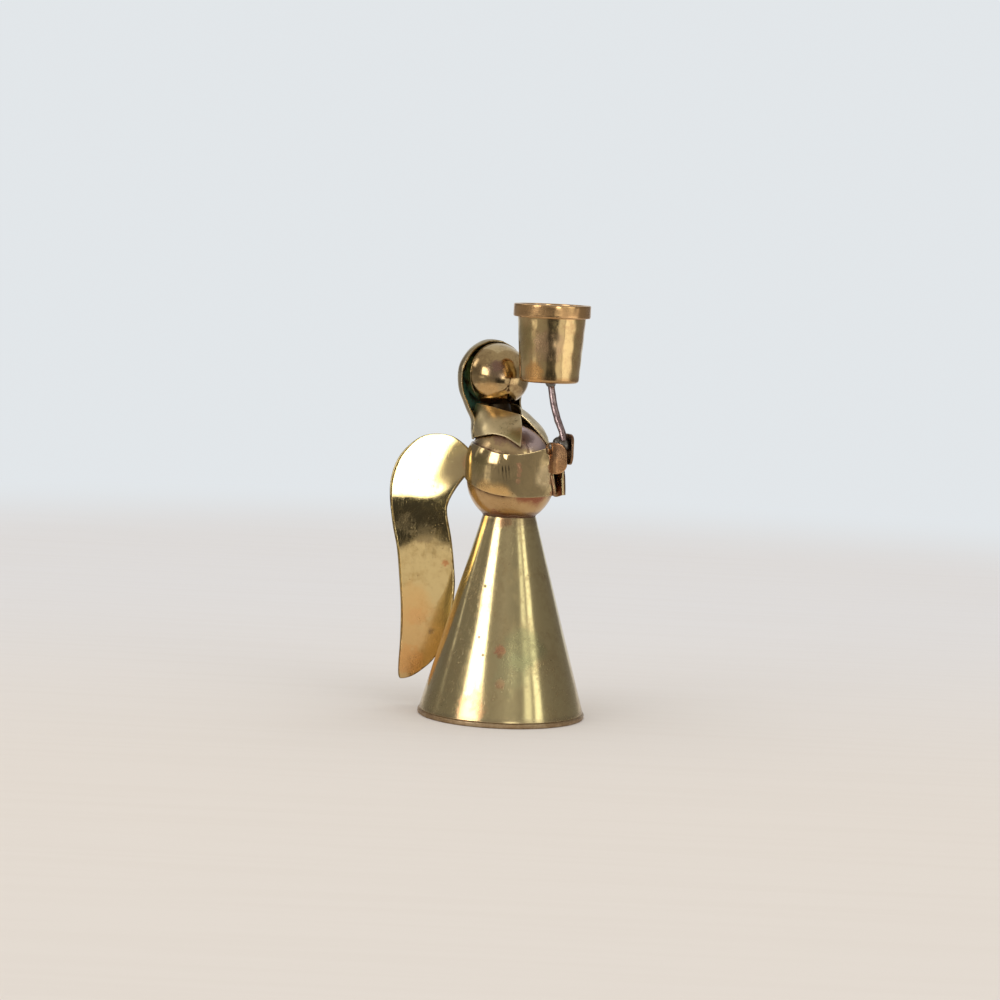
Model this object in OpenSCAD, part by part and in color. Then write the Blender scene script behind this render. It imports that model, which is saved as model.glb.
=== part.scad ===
// A sheet-brass angel that holds a candle cup up before its face.
// Millimetres. The floor is z = 0, the skirt's axis is the Z axis and the angel faces -Y.

/* [Sheet] */
// Thickness of the sheet that every bent piece is cut from
sheet_t = 0.6; // [0.5:0.05:0.7]

/* [Skirt] */
// Radius that the skirt's slope reaches at the floor
skirt_foot_r = 28.8; // [28.4:0.1:29]
// How much the skirt's radius shrinks for each millimetre of height
skirt_slope = 0.284; // [0.276:0.002:0.29]
// Outer radius of the ring under the skirt
base_ring_r = 28.7; // [28.7:0.1:30]
// Width of the ring's flat foot, measured along the radius
base_ring_w = 1.9; // [1.6:0.1:3]
// Height of the ring
base_ring_h = 1.7; // [1.2:0.1:2.4]

/* [Torso] */
// Outer radius of both torso halves
torso_r = 15.1; // [14.6:0.1:15.4]
// Height of the lower half's centre
torso_low_z = 81.7; // [81:0.1:82.4]
// Height of the upper half's centre
torso_high_z = 86.8; // [86:0.1:87.4]

/* [Head] */
// Half length of the egg-shaped head, from crown to chin
head_long_r = 11.3; // [10.8:0.1:11.5]
// Half width of the head
head_wide_r = 10.5; // [10:0.1:10.6]
// How far behind the skirt's axis the head's centre is
head_y = 10.6; // [10.2:0.1:10.8]
// Height of the head's centre
head_z = 117; // [116.6:0.1:117.2]
// Tilt of the head's long axis from the vertical, chin forward
head_tilt = 45; // [30:1:50]
// Outer radius of the neck tube
neck_r = 3.6; // [3:0.1:4]

/* [Collar] */
// Half width of the collar across the shoulders, at its lower edge
collar_low_w = 12.4; // [12.2:0.1:12.8]
// Half width of the collar's upper edge
collar_top_w = 7.6; // [7.4:0.1:8]
// How far the collar's front bulges out between its edges
collar_bulge = 1.3; // [0:0.1:1.6]

/* [Sleeves] */
// Clearance between a sleeve and the torso
sleeve_gap = 0.12; // [0.1:0.01:0.3]
// Bearing, from straight ahead, where a sleeve leaves the torso
sleeve_leave = 46; // [42:1:50]
// How far a cuff stands out from the middle
cuff_x = 2.4; // [2.1:0.1:3]
// How far in front of the skirt's axis the cuffs end
cuff_y = 25.5; // [24.5:0.1:26]

/* [Hands] */
// Length of the outline of a hand, along the arm
hand_len = 9.6; // [9:0.1:10]
// Height of the outline of a hand
hand_h = 9.8; // [9:0.1:10]
// Height of the right hand's middle
hand_z = 91.3; // [91:0.1:92]
// How much higher the left hand is set
hand_lift = 3; // [0:0.1:3.2]
// How far in front of the skirt's axis the fingertips are
hand_tip_y = 31.3; // [31:0.1:31.5]

/* [Stem] */
// Radius of the wire that holds the candle cup up
stem_r = 1.15; // [1:0.05:1.3]

/* [Candle cup] */
// Distance of the cup's axis in front of the skirt's axis
cup_y = 18.6; // [18.2:0.1:19.2]
// Height of the cup's underside
cup_base_z = 116.2; // [115.5:0.1:117]
// Height of the cup's rim
cup_rim_z = 142.4; // [140:0.1:145]
// Outer radius of the cup at its foot
cup_foot_r = 9.9; // [9.4:0.1:10.2]
// Outer radius of the cup right under its rim band
cup_top_r = 11.5; // [11.45:0.05:11.9]
// Outer radius of the rim band
cup_band_r = 13; // [12.6:0.1:13.6]
// Height of the rim band
cup_band_h = 4.4; // [3.6:0.1:5.4]
// Radius of the seat that the candle stands in, for a 22 mm candle
seat_r = 11.05; // [10.9:0.05:11.05]

/* [Wings] */
// Sweep of the wings behind the shoulders, in degrees
wing_sweep = 30; // [28:0.5:34]
// Sideways distance from the middle to a wing's root
wing_root_x = 5.4; // [5:0.1:6]
// Distance of a wing's root behind the skirt's axis
wing_root_y = 14.6; // [14.4:0.1:15.2]
// Height at which a wing stands upright
wing_waist_z = 72; // [70:0.5:74]
// Bend radius of a wing above that height
wing_bend_high = 62; // [55:1:80]
// Bend radius of a wing below that height
wing_bend_low = 300; // [230:5:330]

/* [Hidden] */
$fn = 96;
far = 200;
brass = "goldenrod";
dark_wire = "dimgray";
solder_grey = "tan";

// The skirt ends where its inner edge meets the sphere of the torso's lower half.
skirt_in_r = skirt_foot_r - sheet_t;
skirt_reach = skirt_in_r * skirt_slope + torso_low_z;
skirt_square = 1 + skirt_slope * skirt_slope;
skirt_rest = skirt_in_r * skirt_in_r + torso_low_z * torso_low_z - torso_r * torso_r;
skirt_top_z = (skirt_reach - sqrt(skirt_reach * skirt_reach - skirt_square * skirt_rest)) / skirt_square;
cup_corner = 1.2;
cup_edge = 0.3;
stem_sides = 16;
lump_sides = 24;

// The left half of the collar's edges, from the front opening round to the back of the neck.
collar_top_edge = [[0.4, -4.1, 104.2], [3.4, 0.2, 105.2], [6, 4.2, 106.2], [collar_top_w, 8.6, 106.8],
    [6.6, 13, 106.8], [0, 16, 106.6]];
collar_low_edge = [[6.2, -12.4, 94.2], [8.8, -8.2, 96.9], [11, -4, 97.8], [collar_low_w, 0.4, 97],
    [11.8, 5.4, 96], [8.6, 10.6, 95.3], [0, 13.8, 95]];
collar_steps = 20;
collar_axis_y = 4;

// The veil's front rim from the crown down to the shoulder: half width, depth and height.
veil_rim = [[3.2, 11.6, 128.4], [8.5, 11.8, 126.3], [12, 12, 123.4], [14.6, 12.4, 119], [15, 12.8, 114.8],
    [14.5, 12.4, 110.6], [13.3, 11.2, 107], [12.6, 9.6, 104.3], [11.5, 8.4, 101.2], [11.6, 8.2, 97.6], [11, 8.2, 95]];
// The veil's spine from the crown down the back, in the same steps.
veil_spine = [[0, 11.6, 128.8], [0, 15.2, 128.7], [0, 18.8, 126.6], [0, 21.4, 123], [0, 22.5, 118],
    [0, 22.2, 113], [0, 20.8, 108.6], [0, 19, 104.6], [0, 17.4, 101.2], [0, 16.8, 98], [0, 16.8, 95]];
veil_wrap = 50;
veil_rows = 20;
veil_cols = 20;

// Where a sleeve ends: at its back edge and at its cuff, top and bottom, in lengths of the forearm.
sleeve_back = [-0.53, -0.85];
sleeve_front = [0.9, 1.09];
sleeve_cuff_turn = 67;
sleeve_cols = 26;
sleeve_rows = 8;

// The right hand's middle line seen from above, from inside the cuff to past the fingertips.
hand_line = [[-2.4, -21], [-1.8, -24.6], [-1.8, -28], [-1, -32]];
hand_t = 0.9;

// The wire's middle line: distance in front of the skirt's axis, and height.
stem_line = [[19.6, cup_base_z], [20.3, 113.4], [21.9, 108.4], [24.3, 103.8], [26.9, 99.8], [28.2, 95.6],
    [28.4, 91]];

// A wing's outline: distance from the root and height. It runs from the root over the lobe to the tip.
wing_outline = [[0, 89.4], [3.2, 92.3], [7.4, 94.8], [12.6, 95.5], [17.6, 94.5], [22, 91.4], [25.8, 86.6],
    [28, 80], [28.2, 73], [26.9, 64], [25, 55.4], [23.7, 45], [22.7, 35], [22.3, 24], [22.4, 14], [22, 9.8],
    [20.6, 9.2], [17.4, 10.2], [13.6, 13], [10.4, 16.4], [7.2, 22.4], [5.2, 31], [4.4, 42], [5.1, 50.2],
    [6.5, 59.6], [8.3, 68], [8, 72], [5.8, 76.6], [2.6, 81.2], [0, 83]];
wing_steps = 3;
wing_bend_steps = 16;

// A smooth curve through a list of numbers or points, read at t from 0 to 1.
function spline_at(list, t) =
    let (
        last = len(list) - 1,
        at = min(max(t, 0), 1) * last,
        i = min(floor(at), last - 1),
        f = at - i,
        a = list[max(i - 1, 0)],
        b = list[i],
        c = list[i + 1],
        d = list[min(i + 2, last)]
    )
    0.5 * (2 * b + (c - a) * f + (2 * a - 5 * b + 4 * c - d) * f * f + (3 * b - a - 3 * c + d) * f * f * f);

// The same for a closed list of points, read at a whole number of steps between neighbours.
function closed_spline(list, steps) =
    let (n = len(list))
    [
        for (i = [0:n - 1], k = [0:steps - 1])
            let (
                f = k / steps,
                a = list[(i + n - 1) % n],
                b = list[i],
                c = list[(i + 1) % n],
                d = list[(i + 2) % n]
            )
            0.5 * (2 * b + (c - a) * f + (2 * a - 5 * b + 4 * c - d) * f * f
                + (3 * b - a - 3 * c + d) * f * f * f)
    ];

function mirror_x(p) = [-p[0], p[1], p[2]];

// Outer radius of the torso at a height.
function torso_radius(z) =
    let (d = max(torso_low_z - z, z - torso_high_z, 0))
    sqrt(torso_r * torso_r - d * d);

function skirt_radius(z) = skirt_foot_r - skirt_slope * z;

// Unit normal of a grid of points at row i and column j.
function grid_normal(grid, i, j) =
    let (
        rows = len(grid) - 1,
        cols = len(grid[0]) - 1,
        down = grid[min(i + 1, rows)][j] - grid[max(i - 1, 0)][j],
        along = grid[i][min(j + 1, cols)] - grid[i][max(j - 1, 0)],
        n = cross(down, along)
    )
    n / norm(n);

function shifted_grid(grid, amount) =
    [for (i = [0:len(grid) - 1]) [for (j = [0:len(grid[0]) - 1]) grid[i][j] + amount * grid_normal(grid, i, j)]];

// A closed sheet between a grid of points and the same grid moved back along its normals.
module bent_sheet(grid, thickness) {
    rows = len(grid);
    cols = len(grid[0]);
    count = rows * cols;
    back = shifted_grid(grid, -thickness);
    points = [for (row = grid) each row, for (row = back) each row];
    front_faces = [
        for (i = [0:rows - 2], j = [0:cols - 2])
            let (a = i * cols + j, b = a + 1, c = a + cols, d = c + 1)
            each [[a, b, d], [a, d, c]]
    ];
    back_faces = [for (f = front_faces) [f[2] + count, f[1] + count, f[0] + count]];
    rim = concat(
        [for (j = [0:cols - 1]) j],
        [for (i = [1:rows - 1]) i * cols + cols - 1],
        [for (j = [1:cols - 1]) count - 1 - j],
        [for (i = [1:rows - 2]) (rows - 1 - i) * cols]
    );
    rim_faces = [
        for (k = [0:len(rim) - 1])
            let (a = rim[k], b = rim[(k + 1) % len(rim)])
            each [[b, a, a + count], [b, a + count, b + count]]
    ];
    polyhedron(points, concat(front_faces, back_faces, rim_faces), convexity = 8);
}

// A strip of even width along a line of points in the plane.
function strip(line, width) =
    let (
        last = len(line) - 1,
        side = [
            for (i = [0:last])
                let (d = line[min(i + 1, last)] - line[max(i - 1, 0)])
                [-d[1], d[0]] / norm(d) * width / 2
        ]
    )
    concat([for (i = [0:last]) line[i] + side[i]], [for (i = [last:-1:0]) line[i] - side[i]]);

// The head's solid shape, which its shells, the neck and the solder are cut to.
module head_egg(shrink) {
    long_r = head_long_r - shrink;
    wide_r = head_wide_r - shrink;
    steps = 28;
    outline = [for (k = [0:steps]) let (a = -90 + 180 * k / steps) [wide_r * cos(a), long_r * sin(a)]];
    translate([0, head_y, head_z])
        rotate([-head_tilt, 0, 0])
            rotate_extrude() polygon([for (p = outline) [max(p[0], 0), p[1]]]);
}

module torso_egg() {
    translate([0, 0, torso_low_z]) {
        sphere(torso_r);
        cylinder(r = torso_r, h = torso_high_z - torso_low_z);
    }
    translate([0, 0, torso_high_z]) sphere(torso_r);
}

module skirt_cone() {
    low_r = skirt_radius(base_ring_h);
    high_r = skirt_radius(skirt_top_z);
    color(brass)
        rotate_extrude()
            polygon([
                [low_r - sheet_t, base_ring_h],
                [low_r, base_ring_h],
                [high_r, skirt_top_z],
                [high_r - sheet_t, skirt_top_z]
            ]);
}

// The bead that closes the skirt's seam, down the middle of its inner back.
module skirt_seam_solder() {
    bead_w = 2.4;
    low_z = 4;
    high_z = 66;
    color(solder_grey)
        intersection() {
            rotate_extrude()
                polygon([
                    [skirt_radius(low_z) - 1.8 * sheet_t, low_z],
                    [skirt_radius(low_z) - sheet_t, low_z],
                    [skirt_radius(high_z) - sheet_t, high_z],
                    [skirt_radius(high_z) - 1.8 * sheet_t, high_z]
                ]);
            translate([-bead_w / 2, 0, 0]) cube([bead_w, far, far]);
        }
}

module base_ring() {
    edge = 0.35;
    inner_r = base_ring_r - base_ring_w;
    color(brass)
        rotate_extrude()
            polygon([
                [inner_r, 0],
                [base_ring_r - edge, 0],
                [base_ring_r, edge],
                [base_ring_r, base_ring_h - edge],
                [base_ring_r - edge, base_ring_h],
                [inner_r, base_ring_h]
            ]);
}

// The fillet between the skirt's top and the torso, whose inner side is the torso's own curve.
module waist_solder() {
    rim_r = skirt_radius(skirt_top_z);
    reach_z = 1.2;
    steps = 4;
    color(solder_grey)
        rotate_extrude()
            polygon(concat(
                [[rim_r, skirt_top_z], [rim_r + 0.4, skirt_top_z + 0.4 * reach_z]],
                [for (k = [steps:-1:0]) let (z = skirt_top_z + reach_z * k / steps) [torso_radius(z), z]]
            ));
}

module torso_lower_shell() {
    seam_z = (torso_low_z + torso_high_z) / 2;
    color(brass)
        rotate_extrude()
            difference() {
                union() {
                    translate([0, torso_low_z]) intersection() {
                        circle(torso_r);
                        translate([0, -far]) square(far);
                    }
                    translate([0, torso_low_z]) square([torso_r, seam_z - torso_low_z]);
                }
                translate([0, torso_low_z]) circle(torso_r - sheet_t);
                translate([0, torso_low_z]) square([torso_r - sheet_t, far]);
            }
}

module torso_upper_shell() {
    seam_z = (torso_low_z + torso_high_z) / 2;
    color(brass)
        rotate_extrude()
            difference() {
                union() {
                    translate([0, torso_high_z]) intersection() {
                        circle(torso_r);
                        square(far);
                    }
                    translate([0, seam_z]) square([torso_r, torso_high_z - seam_z]);
                }
                translate([0, torso_high_z]) circle(torso_r - sheet_t);
                translate([0, seam_z]) square([torso_r - sheet_t, torso_high_z - seam_z]);
            }
}

module neck_tube() {
    lean = 28;
    foot_z = 96;
    color(brass)
        difference() {
            translate([0, 2.6, foot_z])
                rotate([-lean, 0, 0])
                    difference() {
                        cylinder(r = neck_r, h = 16);
                        cylinder(r = neck_r - sheet_t, h = far, center = true);
                    }
            torso_egg();
            head_egg(0);
        }
}

module head_shell() {
    difference() {
        head_egg(0);
        head_egg(sheet_t);
    }
}

module head_front_shell() {
    color(brass)
        intersection() {
            head_shell();
            translate([-far / 2, head_y - far, 0]) cube([far, far, far]);
        }
}

module head_back_shell() {
    color(brass)
        intersection() {
            head_shell();
            translate([-far / 2, head_y, 0]) cube([far, far, far]);
        }
}

// One point of the veil: v runs from the crown to the shoulders, turn from one rim to the other.
function veil_point(v, turn) =
    let (
        rim = spline_at(veil_rim, v),
        spine = spline_at(veil_spine, v),
        out = sin(turn) / sin(veil_wrap),
        forward = (1 - cos(turn)) / (1 - cos(veil_wrap))
    )
    [rim[0] * out, spine[1] + (rim[1] - spine[1]) * forward, spine[2] + (rim[2] - spine[2]) * forward];

module veil() {
    grid = [
        for (i = [0:veil_rows])
            [for (j = [0:veil_cols]) veil_point(i / veil_rows, veil_wrap * (1 - 2 * j / veil_cols))]
    ];
    color(brass) bent_sheet(grid, sheet_t);
}

// The spot of solder between the back of the head and the veil.
module veil_solder() {
    spot_z = 117;
    spot_r = 2.2;
    color(solder_grey)
        difference() {
            translate([0, head_y, spot_z])
                rotate([-90, 0, 0]) cylinder(r = spot_r, h = veil_spine[4][1] - sheet_t - 0.1 - head_y);
            head_egg(0);
        }
}

// One point of the collar's left half: k runs from the opening to the nape, h from the upper edge down.
function collar_point(k, h) =
    let (
        top = spline_at(collar_top_edge, k),
        low = spline_at(collar_low_edge, k),
        flat = top + (low - top) * h,
        out = [flat[0], flat[1] - collar_axis_y, 0] / norm([flat[0], flat[1] - collar_axis_y])
    )
    flat + out * collar_bulge * (1 - k * k) * 4 * h * (1 - h);

module collar() {
    rows = 4;
    grid = [
        for (i = [0:rows])
            concat(
                [for (j = [0:collar_steps]) collar_point(j / collar_steps, i / rows)],
                [for (j = [collar_steps - 1:-1:0]) mirror_x(collar_point(j / collar_steps, i / rows))]
            )
    ];
    color(brass) bent_sheet(grid, sheet_t);
}

// Three spots of solder between the torso and the inside of the collar, at its back and sides.
module collar_solder() {
    spot_r = 1.1;
    spots = [[0, 13.8 - sheet_t - spot_r, 95.8], [10, 7.4, 96.2], [-10, 7.4, 96.2]];
    color(solder_grey)
        difference() {
            union() for (p = spots) translate(p) sphere(spot_r);
            torso_egg();
        }
}

// One point of the right sleeve. Past the torso it is a smooth S to the cuff, behind that it follows
// the torso. The place s is 0 where it leaves the torso and 1 at the middle of the cuff.
function sleeve_point(s, z) =
    let (
        r = torso_radius(z) + sleeve_gap + sheet_t,
        from = [-r * sin(sleeve_leave), -r * cos(sleeve_leave)],
        to = [-cuff_x, -cuff_y],
        reach = norm(to - from),
        from_dir = [cos(sleeve_leave), -sin(sleeve_leave)] * reach,
        to_dir = [cos(sleeve_cuff_turn), -sin(sleeve_cuff_turn)] * reach,
        turn = sleeve_leave - s * reach / r * 180 / PI,
        s2 = s * s,
        s3 = s2 * s,
        flat = (2 * s3 - 3 * s2 + 1) * from + (s3 - 2 * s2 + s) * from_dir + (3 * s2 - 2 * s3) * to
            + (s3 - s2) * to_dir
    )
    s < 0 ? [-r * sin(turn), -r * cos(turn), z] : [flat[0], flat[1], z];

function sleeve_top(s) = 91.2 + (s < 0 ? 7 : 4.2) * s * s;
function sleeve_bottom(s) = 77.1 + (s < 0.2 ? 3.4 : 2.4) * (s - 0.2) * (s - 0.2);

module sleeve() {
    grid = [
        for (i = [0:sleeve_rows])
            [
                for (j = [0:sleeve_cols])
                    let (
                        v = i / sleeve_rows,
                        u = j / sleeve_cols,
                        back = sleeve_back[0] + (sleeve_back[1] - sleeve_back[0]) * v,
                        front = sleeve_front[0] + (sleeve_front[1] - sleeve_front[0]) * v,
                        s = back + (front - back) * u
                    )
                    sleeve_point(s, sleeve_top(s) + (sleeve_bottom(s) - sleeve_top(s)) * v)
            ]
    ];
    bent_sheet(grid, sheet_t);
}

module right_sleeve() {
    color(brass) sleeve();
}

module left_sleeve() {
    color(brass) mirror([1, 0, 0]) sleeve();
}

// The right hand: a curved tab with round corners that leaves the cuff and closes on the wire.
module hand(middle_z) {
    corner = 2.2;
    steps = 12;
    line = [for (k = [0:steps]) spline_at(hand_line, k / steps)];
    intersection() {
        translate([0, 0, middle_z - hand_h]) linear_extrude(2 * hand_h) polygon(strip(line, hand_t));
        translate([-far / 2, hand_len / 2 - hand_tip_y, middle_z])
            rotate([90, 0, 90])
                linear_extrude(far) {
                    square([hand_len, hand_h - 2 * corner], center = true);
                    square([hand_len - 2 * corner, hand_h], center = true);
                    for (sx = [-1, 1], sz = [-1, 1])
                        translate([sx * (hand_len / 2 - corner), sz * (hand_h / 2 - corner)]) circle(corner);
                }
    }
}

module right_hand() {
    color(brass) hand(hand_z);
}

module left_hand() {
    color(brass) mirror([1, 0, 0]) hand(hand_z + hand_lift);
}

// The wire: rings of points square to its middle line.
module wire() {
    rings = 32;
    line = [for (k = [0:rings]) spline_at(stem_line, k / rings)];
    points = [
        for (k = [0:rings], a = [0:stem_sides - 1])
            let (
                d = line[min(k + 1, rings)] - line[max(k - 1, 0)],
                run = k == 0 ? [0, -1] : d / norm(d),
                turn = 360 * a / stem_sides,
                across = stem_r * cos(turn),
                thick = stem_r * sin(turn)
            )
            [across, -line[k][0] + thick * run[1], line[k][1] + thick * run[0]]
    ];
    walls = [
        for (k = [0:rings - 1], a = [0:stem_sides - 1])
            let (
                b = (a + 1) % stem_sides,
                p = k * stem_sides,
                q = p + stem_sides
            )
            each [[p + a, q + b, p + b], [p + a, q + a, q + b]]
    ];
    top = [for (a = [0:stem_sides - 1]) a];
    foot = [for (a = [stem_sides - 1:-1:0]) rings * stem_sides + a];
    polyhedron(points, concat([top], walls, [foot]), convexity = 6);
}

module candle_stem() {
    color(dark_wire) wire();
}

// The lump of solder in the fork of the hands, round the wire and down to the cuffs.
module hand_solder() {
    lumps = [[0, -25.6, 96.2, 2.5], [0, -28, 95.6, 2.3], [-2, -24.4, 95, 1.5], [2, -24.4, 95, 1.5]];
    color(solder_grey)
        difference() {
            union() for (p = lumps) translate([p[0], p[1], p[2]]) hull() sphere(p[3], $fn = lump_sides);
            hand(hand_z);
            mirror([1, 0, 0]) hand(hand_z + hand_lift);
            sleeve();
            mirror([1, 0, 0]) sleeve();
            wire();
        }
}

// The fillet round the wire under the cup.
module cup_solder() {
    fillet_r = 2.3;
    fillet_h = 1.3;
    color(solder_grey)
        difference() {
            translate([0, -stem_line[0][0], cup_base_z])
                rotate_extrude($fn = lump_sides)
                    polygon([
                        [0, 0],
                        [fillet_r, 0],
                        [stem_r + 0.35, -0.5 * fillet_h],
                        [stem_r + 0.1, -fillet_h],
                        [0, -fillet_h]
                    ]);
            wire();
        }
}

module candle_cup() {
    band_z = cup_rim_z - cup_band_h;
    wall = 0.5;
    corner = [for (a = [-90:15:0]) [cup_foot_r - cup_corner + cup_corner * cos(a),
        cup_base_z + cup_corner + cup_corner * sin(a)]];
    color(brass)
        translate([0, -cup_y, 0])
            rotate_extrude()
                polygon(concat(
                    [[0, cup_base_z]],
                    corner,
                    [
                        [cup_top_r, band_z],
                        [cup_band_r - cup_edge, band_z],
                        [cup_band_r, band_z + cup_edge],
                        [cup_band_r, cup_rim_z - cup_edge],
                        [cup_band_r - cup_edge, cup_rim_z],
                        [seat_r, cup_rim_z],
                        [seat_r, band_z],
                        [cup_foot_r - wall, cup_base_z + cup_corner],
                        [cup_foot_r - wall - 0.6, cup_base_z + wall],
                        [0, cup_base_z + wall]
                    ]
                ));
}

// How far a wing's front face has bent back at a height.
function wing_bend(z) =
    let (d = z - wing_waist_z, r = d > 0 ? wing_bend_high : wing_bend_low)
    r - sqrt(r * r - d * d);

// A wing in its own frame: root on the Z axis, spreading along +X, bent back towards +Y.
module wing_shape() {
    low_z = 9;
    high_z = 97;
    line = [
        for (k = [0:wing_bend_steps])
            let (z = low_z + (high_z - low_z) * k / wing_bend_steps)
            [wing_bend(z), z]
    ];
    intersection() {
        rotate([90, 0, 0])
            linear_extrude(2 * far, center = true) polygon(closed_spline(wing_outline, wing_steps));
        rotate([90, 0, 90])
            linear_extrude(far, center = true)
                polygon(concat(line, [for (k = [wing_bend_steps:-1:0]) line[k] + [sheet_t, 0]]));
    }
}

module left_wing_place() {
    translate([wing_root_x, wing_root_y, 0]) rotate([0, 0, wing_sweep]) children();
}

module right_wing() {
    color(brass) mirror([1, 0, 0]) left_wing_place() wing_shape();
}

module left_wing() {
    color(brass) left_wing_place() wing_shape();
}

// The bead between the torso and a wing's root.
module wing_bead() {
    low_z = 83.6;
    high_z = 89.6;
    bead_r = 1.3;
    difference() {
        translate([wing_root_x - 0.2, wing_root_y + 0.1, low_z]) {
            sphere(bead_r);
            cylinder(r = bead_r, h = high_z - low_z);
            translate([0, 0, high_z - low_z]) sphere(bead_r);
        }
        torso_egg();
        left_wing_place() wing_shape();
    }
}

module right_wing_solder() {
    color(solder_grey) mirror([1, 0, 0]) wing_bead();
}

module left_wing_solder() {
    color(solder_grey) wing_bead();
}

skirt_cone();
skirt_seam_solder();
base_ring();
waist_solder();
torso_lower_shell();
torso_upper_shell();
neck_tube();
head_front_shell();
head_back_shell();
veil();
veil_solder();
collar();
collar_solder();
right_sleeve();
left_sleeve();
right_hand();
left_hand();
candle_stem();
hand_solder();
cup_solder();
candle_cup();
right_wing();
left_wing();
right_wing_solder();
left_wing_solder();
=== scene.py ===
# %% [markdown]
# A small angel of soldered sheet brass stands on a table and holds a candle cup up before its face. The
# frame that was packed from the solid model says where each piece is. This lesson gives those pieces their
# finished surfaces and their metal, and then the light and the camera that show them.

# %% Load the frame
import math
import bmesh
import bpy
import numpy as np
from mathutils import Matrix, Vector
from mathutils.kdtree import KDTree


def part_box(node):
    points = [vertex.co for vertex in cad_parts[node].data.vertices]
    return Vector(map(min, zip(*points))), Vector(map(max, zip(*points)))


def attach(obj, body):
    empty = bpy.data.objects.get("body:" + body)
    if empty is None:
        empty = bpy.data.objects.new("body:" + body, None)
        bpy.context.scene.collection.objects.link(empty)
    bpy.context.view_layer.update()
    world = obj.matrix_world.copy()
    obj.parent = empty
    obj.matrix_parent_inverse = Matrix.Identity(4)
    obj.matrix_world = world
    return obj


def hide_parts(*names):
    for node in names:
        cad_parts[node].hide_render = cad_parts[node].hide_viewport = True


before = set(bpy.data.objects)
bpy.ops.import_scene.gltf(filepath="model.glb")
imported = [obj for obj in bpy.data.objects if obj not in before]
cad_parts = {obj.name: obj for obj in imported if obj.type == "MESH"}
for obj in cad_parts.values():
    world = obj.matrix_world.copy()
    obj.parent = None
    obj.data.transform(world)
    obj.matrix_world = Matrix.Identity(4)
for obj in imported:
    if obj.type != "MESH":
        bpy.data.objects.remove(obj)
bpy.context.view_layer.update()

MM = 0.001
print("the frame holds", len(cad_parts), "pieces")

# %% [markdown]
# The camera comes first, because every later choice is compared with the photograph. A picture of a small
# thing that was taken from about a metre away has a long lens. Its place is an azimuth, a reach and a
# height. Its aim is worked out from the pixel where the middle of the angel's foot stands in the picture.

# %% Camera
PICTURE_PX = 1000
FOCAL_PX = 2751
SENSOR_MM = 36
CAMERA_AZIMUTH = math.radians(-38)
CAMERA_REACH = 940
CAMERA_HEIGHT = 163
CAMERA_ROLL = math.radians(2.5)
FOOT_PX = (500.4, 714.3)


def put(name, data):
    """Adds an object with that data to the scene."""
    made = bpy.data.objects.new(name, data)
    bpy.context.scene.collection.objects.link(made)
    return made


def camera_axes():
    """The camera's right, up and backward directions.

    The foot's direction has the slopes x and y in the picture, once the roll is taken out. The right
    direction is level, so its dot product with the foot's direction gives the heading, and the height
    parts of the same equation give the pitch. The roll then turns right and up about the view."""
    foot = -camera_place / np.linalg.norm(camera_place)
    x_px = (FOOT_PX[0] - PICTURE_PX / 2) / FOCAL_PX
    y_px = (PICTURE_PX / 2 - FOOT_PX[1]) / FOCAL_PX
    x = x_px * math.cos(CAMERA_ROLL) - y_px * math.sin(CAMERA_ROLL)
    y = x_px * math.sin(CAMERA_ROLL) + y_px * math.cos(CAMERA_ROLL)
    length = math.sqrt(1 + x * x + y * y)
    heading = math.atan2(foot[1], foot[0]) - math.acos(x / length / math.hypot(foot[0], foot[1]))
    pitch = math.atan(y) + math.asin(-foot[2] * length / math.sqrt(1 + y * y))
    right = np.array([math.cos(heading), math.sin(heading), 0])
    ahead = np.array([-math.sin(heading) * math.cos(pitch), math.cos(heading) * math.cos(pitch),
                      -math.sin(pitch)])
    up = np.cross(right, ahead)
    tilted_right = math.cos(CAMERA_ROLL) * right + math.sin(CAMERA_ROLL) * up
    tilted_up = math.cos(CAMERA_ROLL) * up - math.sin(CAMERA_ROLL) * right
    return tilted_right, tilted_up, -ahead


camera_place = np.array([math.sin(CAMERA_AZIMUTH) * CAMERA_REACH, -math.cos(CAMERA_AZIMUTH) * CAMERA_REACH,
                         CAMERA_HEIGHT])
camera_turn = np.eye(4)
camera_turn[:3, :3] = np.stack(camera_axes(), 1)
camera_turn[:3, 3] = camera_place * MM
camera = put("camera", bpy.data.cameras.new("camera"))
camera.data.sensor_width = SENSOR_MM
camera.data.lens = FOCAL_PX / PICTURE_PX * SENSOR_MM
camera.data.clip_start = 0.01
camera.matrix_world = Matrix(camera_turn.tolist())
bpy.context.scene.camera = camera
print("lens %.1f mm" % camera.data.lens)

# %% [markdown]
# Shader nodes are quicker to read when one helper adds a node and fills its sockets, with a value or with a
# link. The other helpers name the few steps that every metal here needs again and again.

# %% Helpers for shader nodes
def colour(r, g, b):
    """A colour for a socket."""
    return (r, g, b, 1.0)


def fill(tree, made, inputs):
    """Fills each named socket of a node, with a value or with a link."""
    for key, value in inputs.items():
        if isinstance(value, bpy.types.NodeSocket):
            tree.links.new(value, made.inputs[key])
        else:
            made.inputs[key].default_value = value
    return made


def add(tree, kind, inputs=None, **settings):
    """Adds the node of that kind, with its settings, and fills its sockets."""
    made = tree.nodes.new("ShaderNode" + kind)
    for key, value in settings.items():
        setattr(made, key, value)
    return fill(tree, made, inputs or {})


def calc(tree, operation, a, b=0.0, c=0.0):
    """The result of one Math node."""
    return add(tree, "Math", {0: a, 1: b, 2: c}, operation=operation).outputs[0]


def blend_colour(tree, factor, a, b):
    """Colour a where factor is 0 and colour b where it is 1."""
    return add(tree, "Mix", {0: factor, 6: a, 7: b}, data_type="RGBA").outputs[2]


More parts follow.
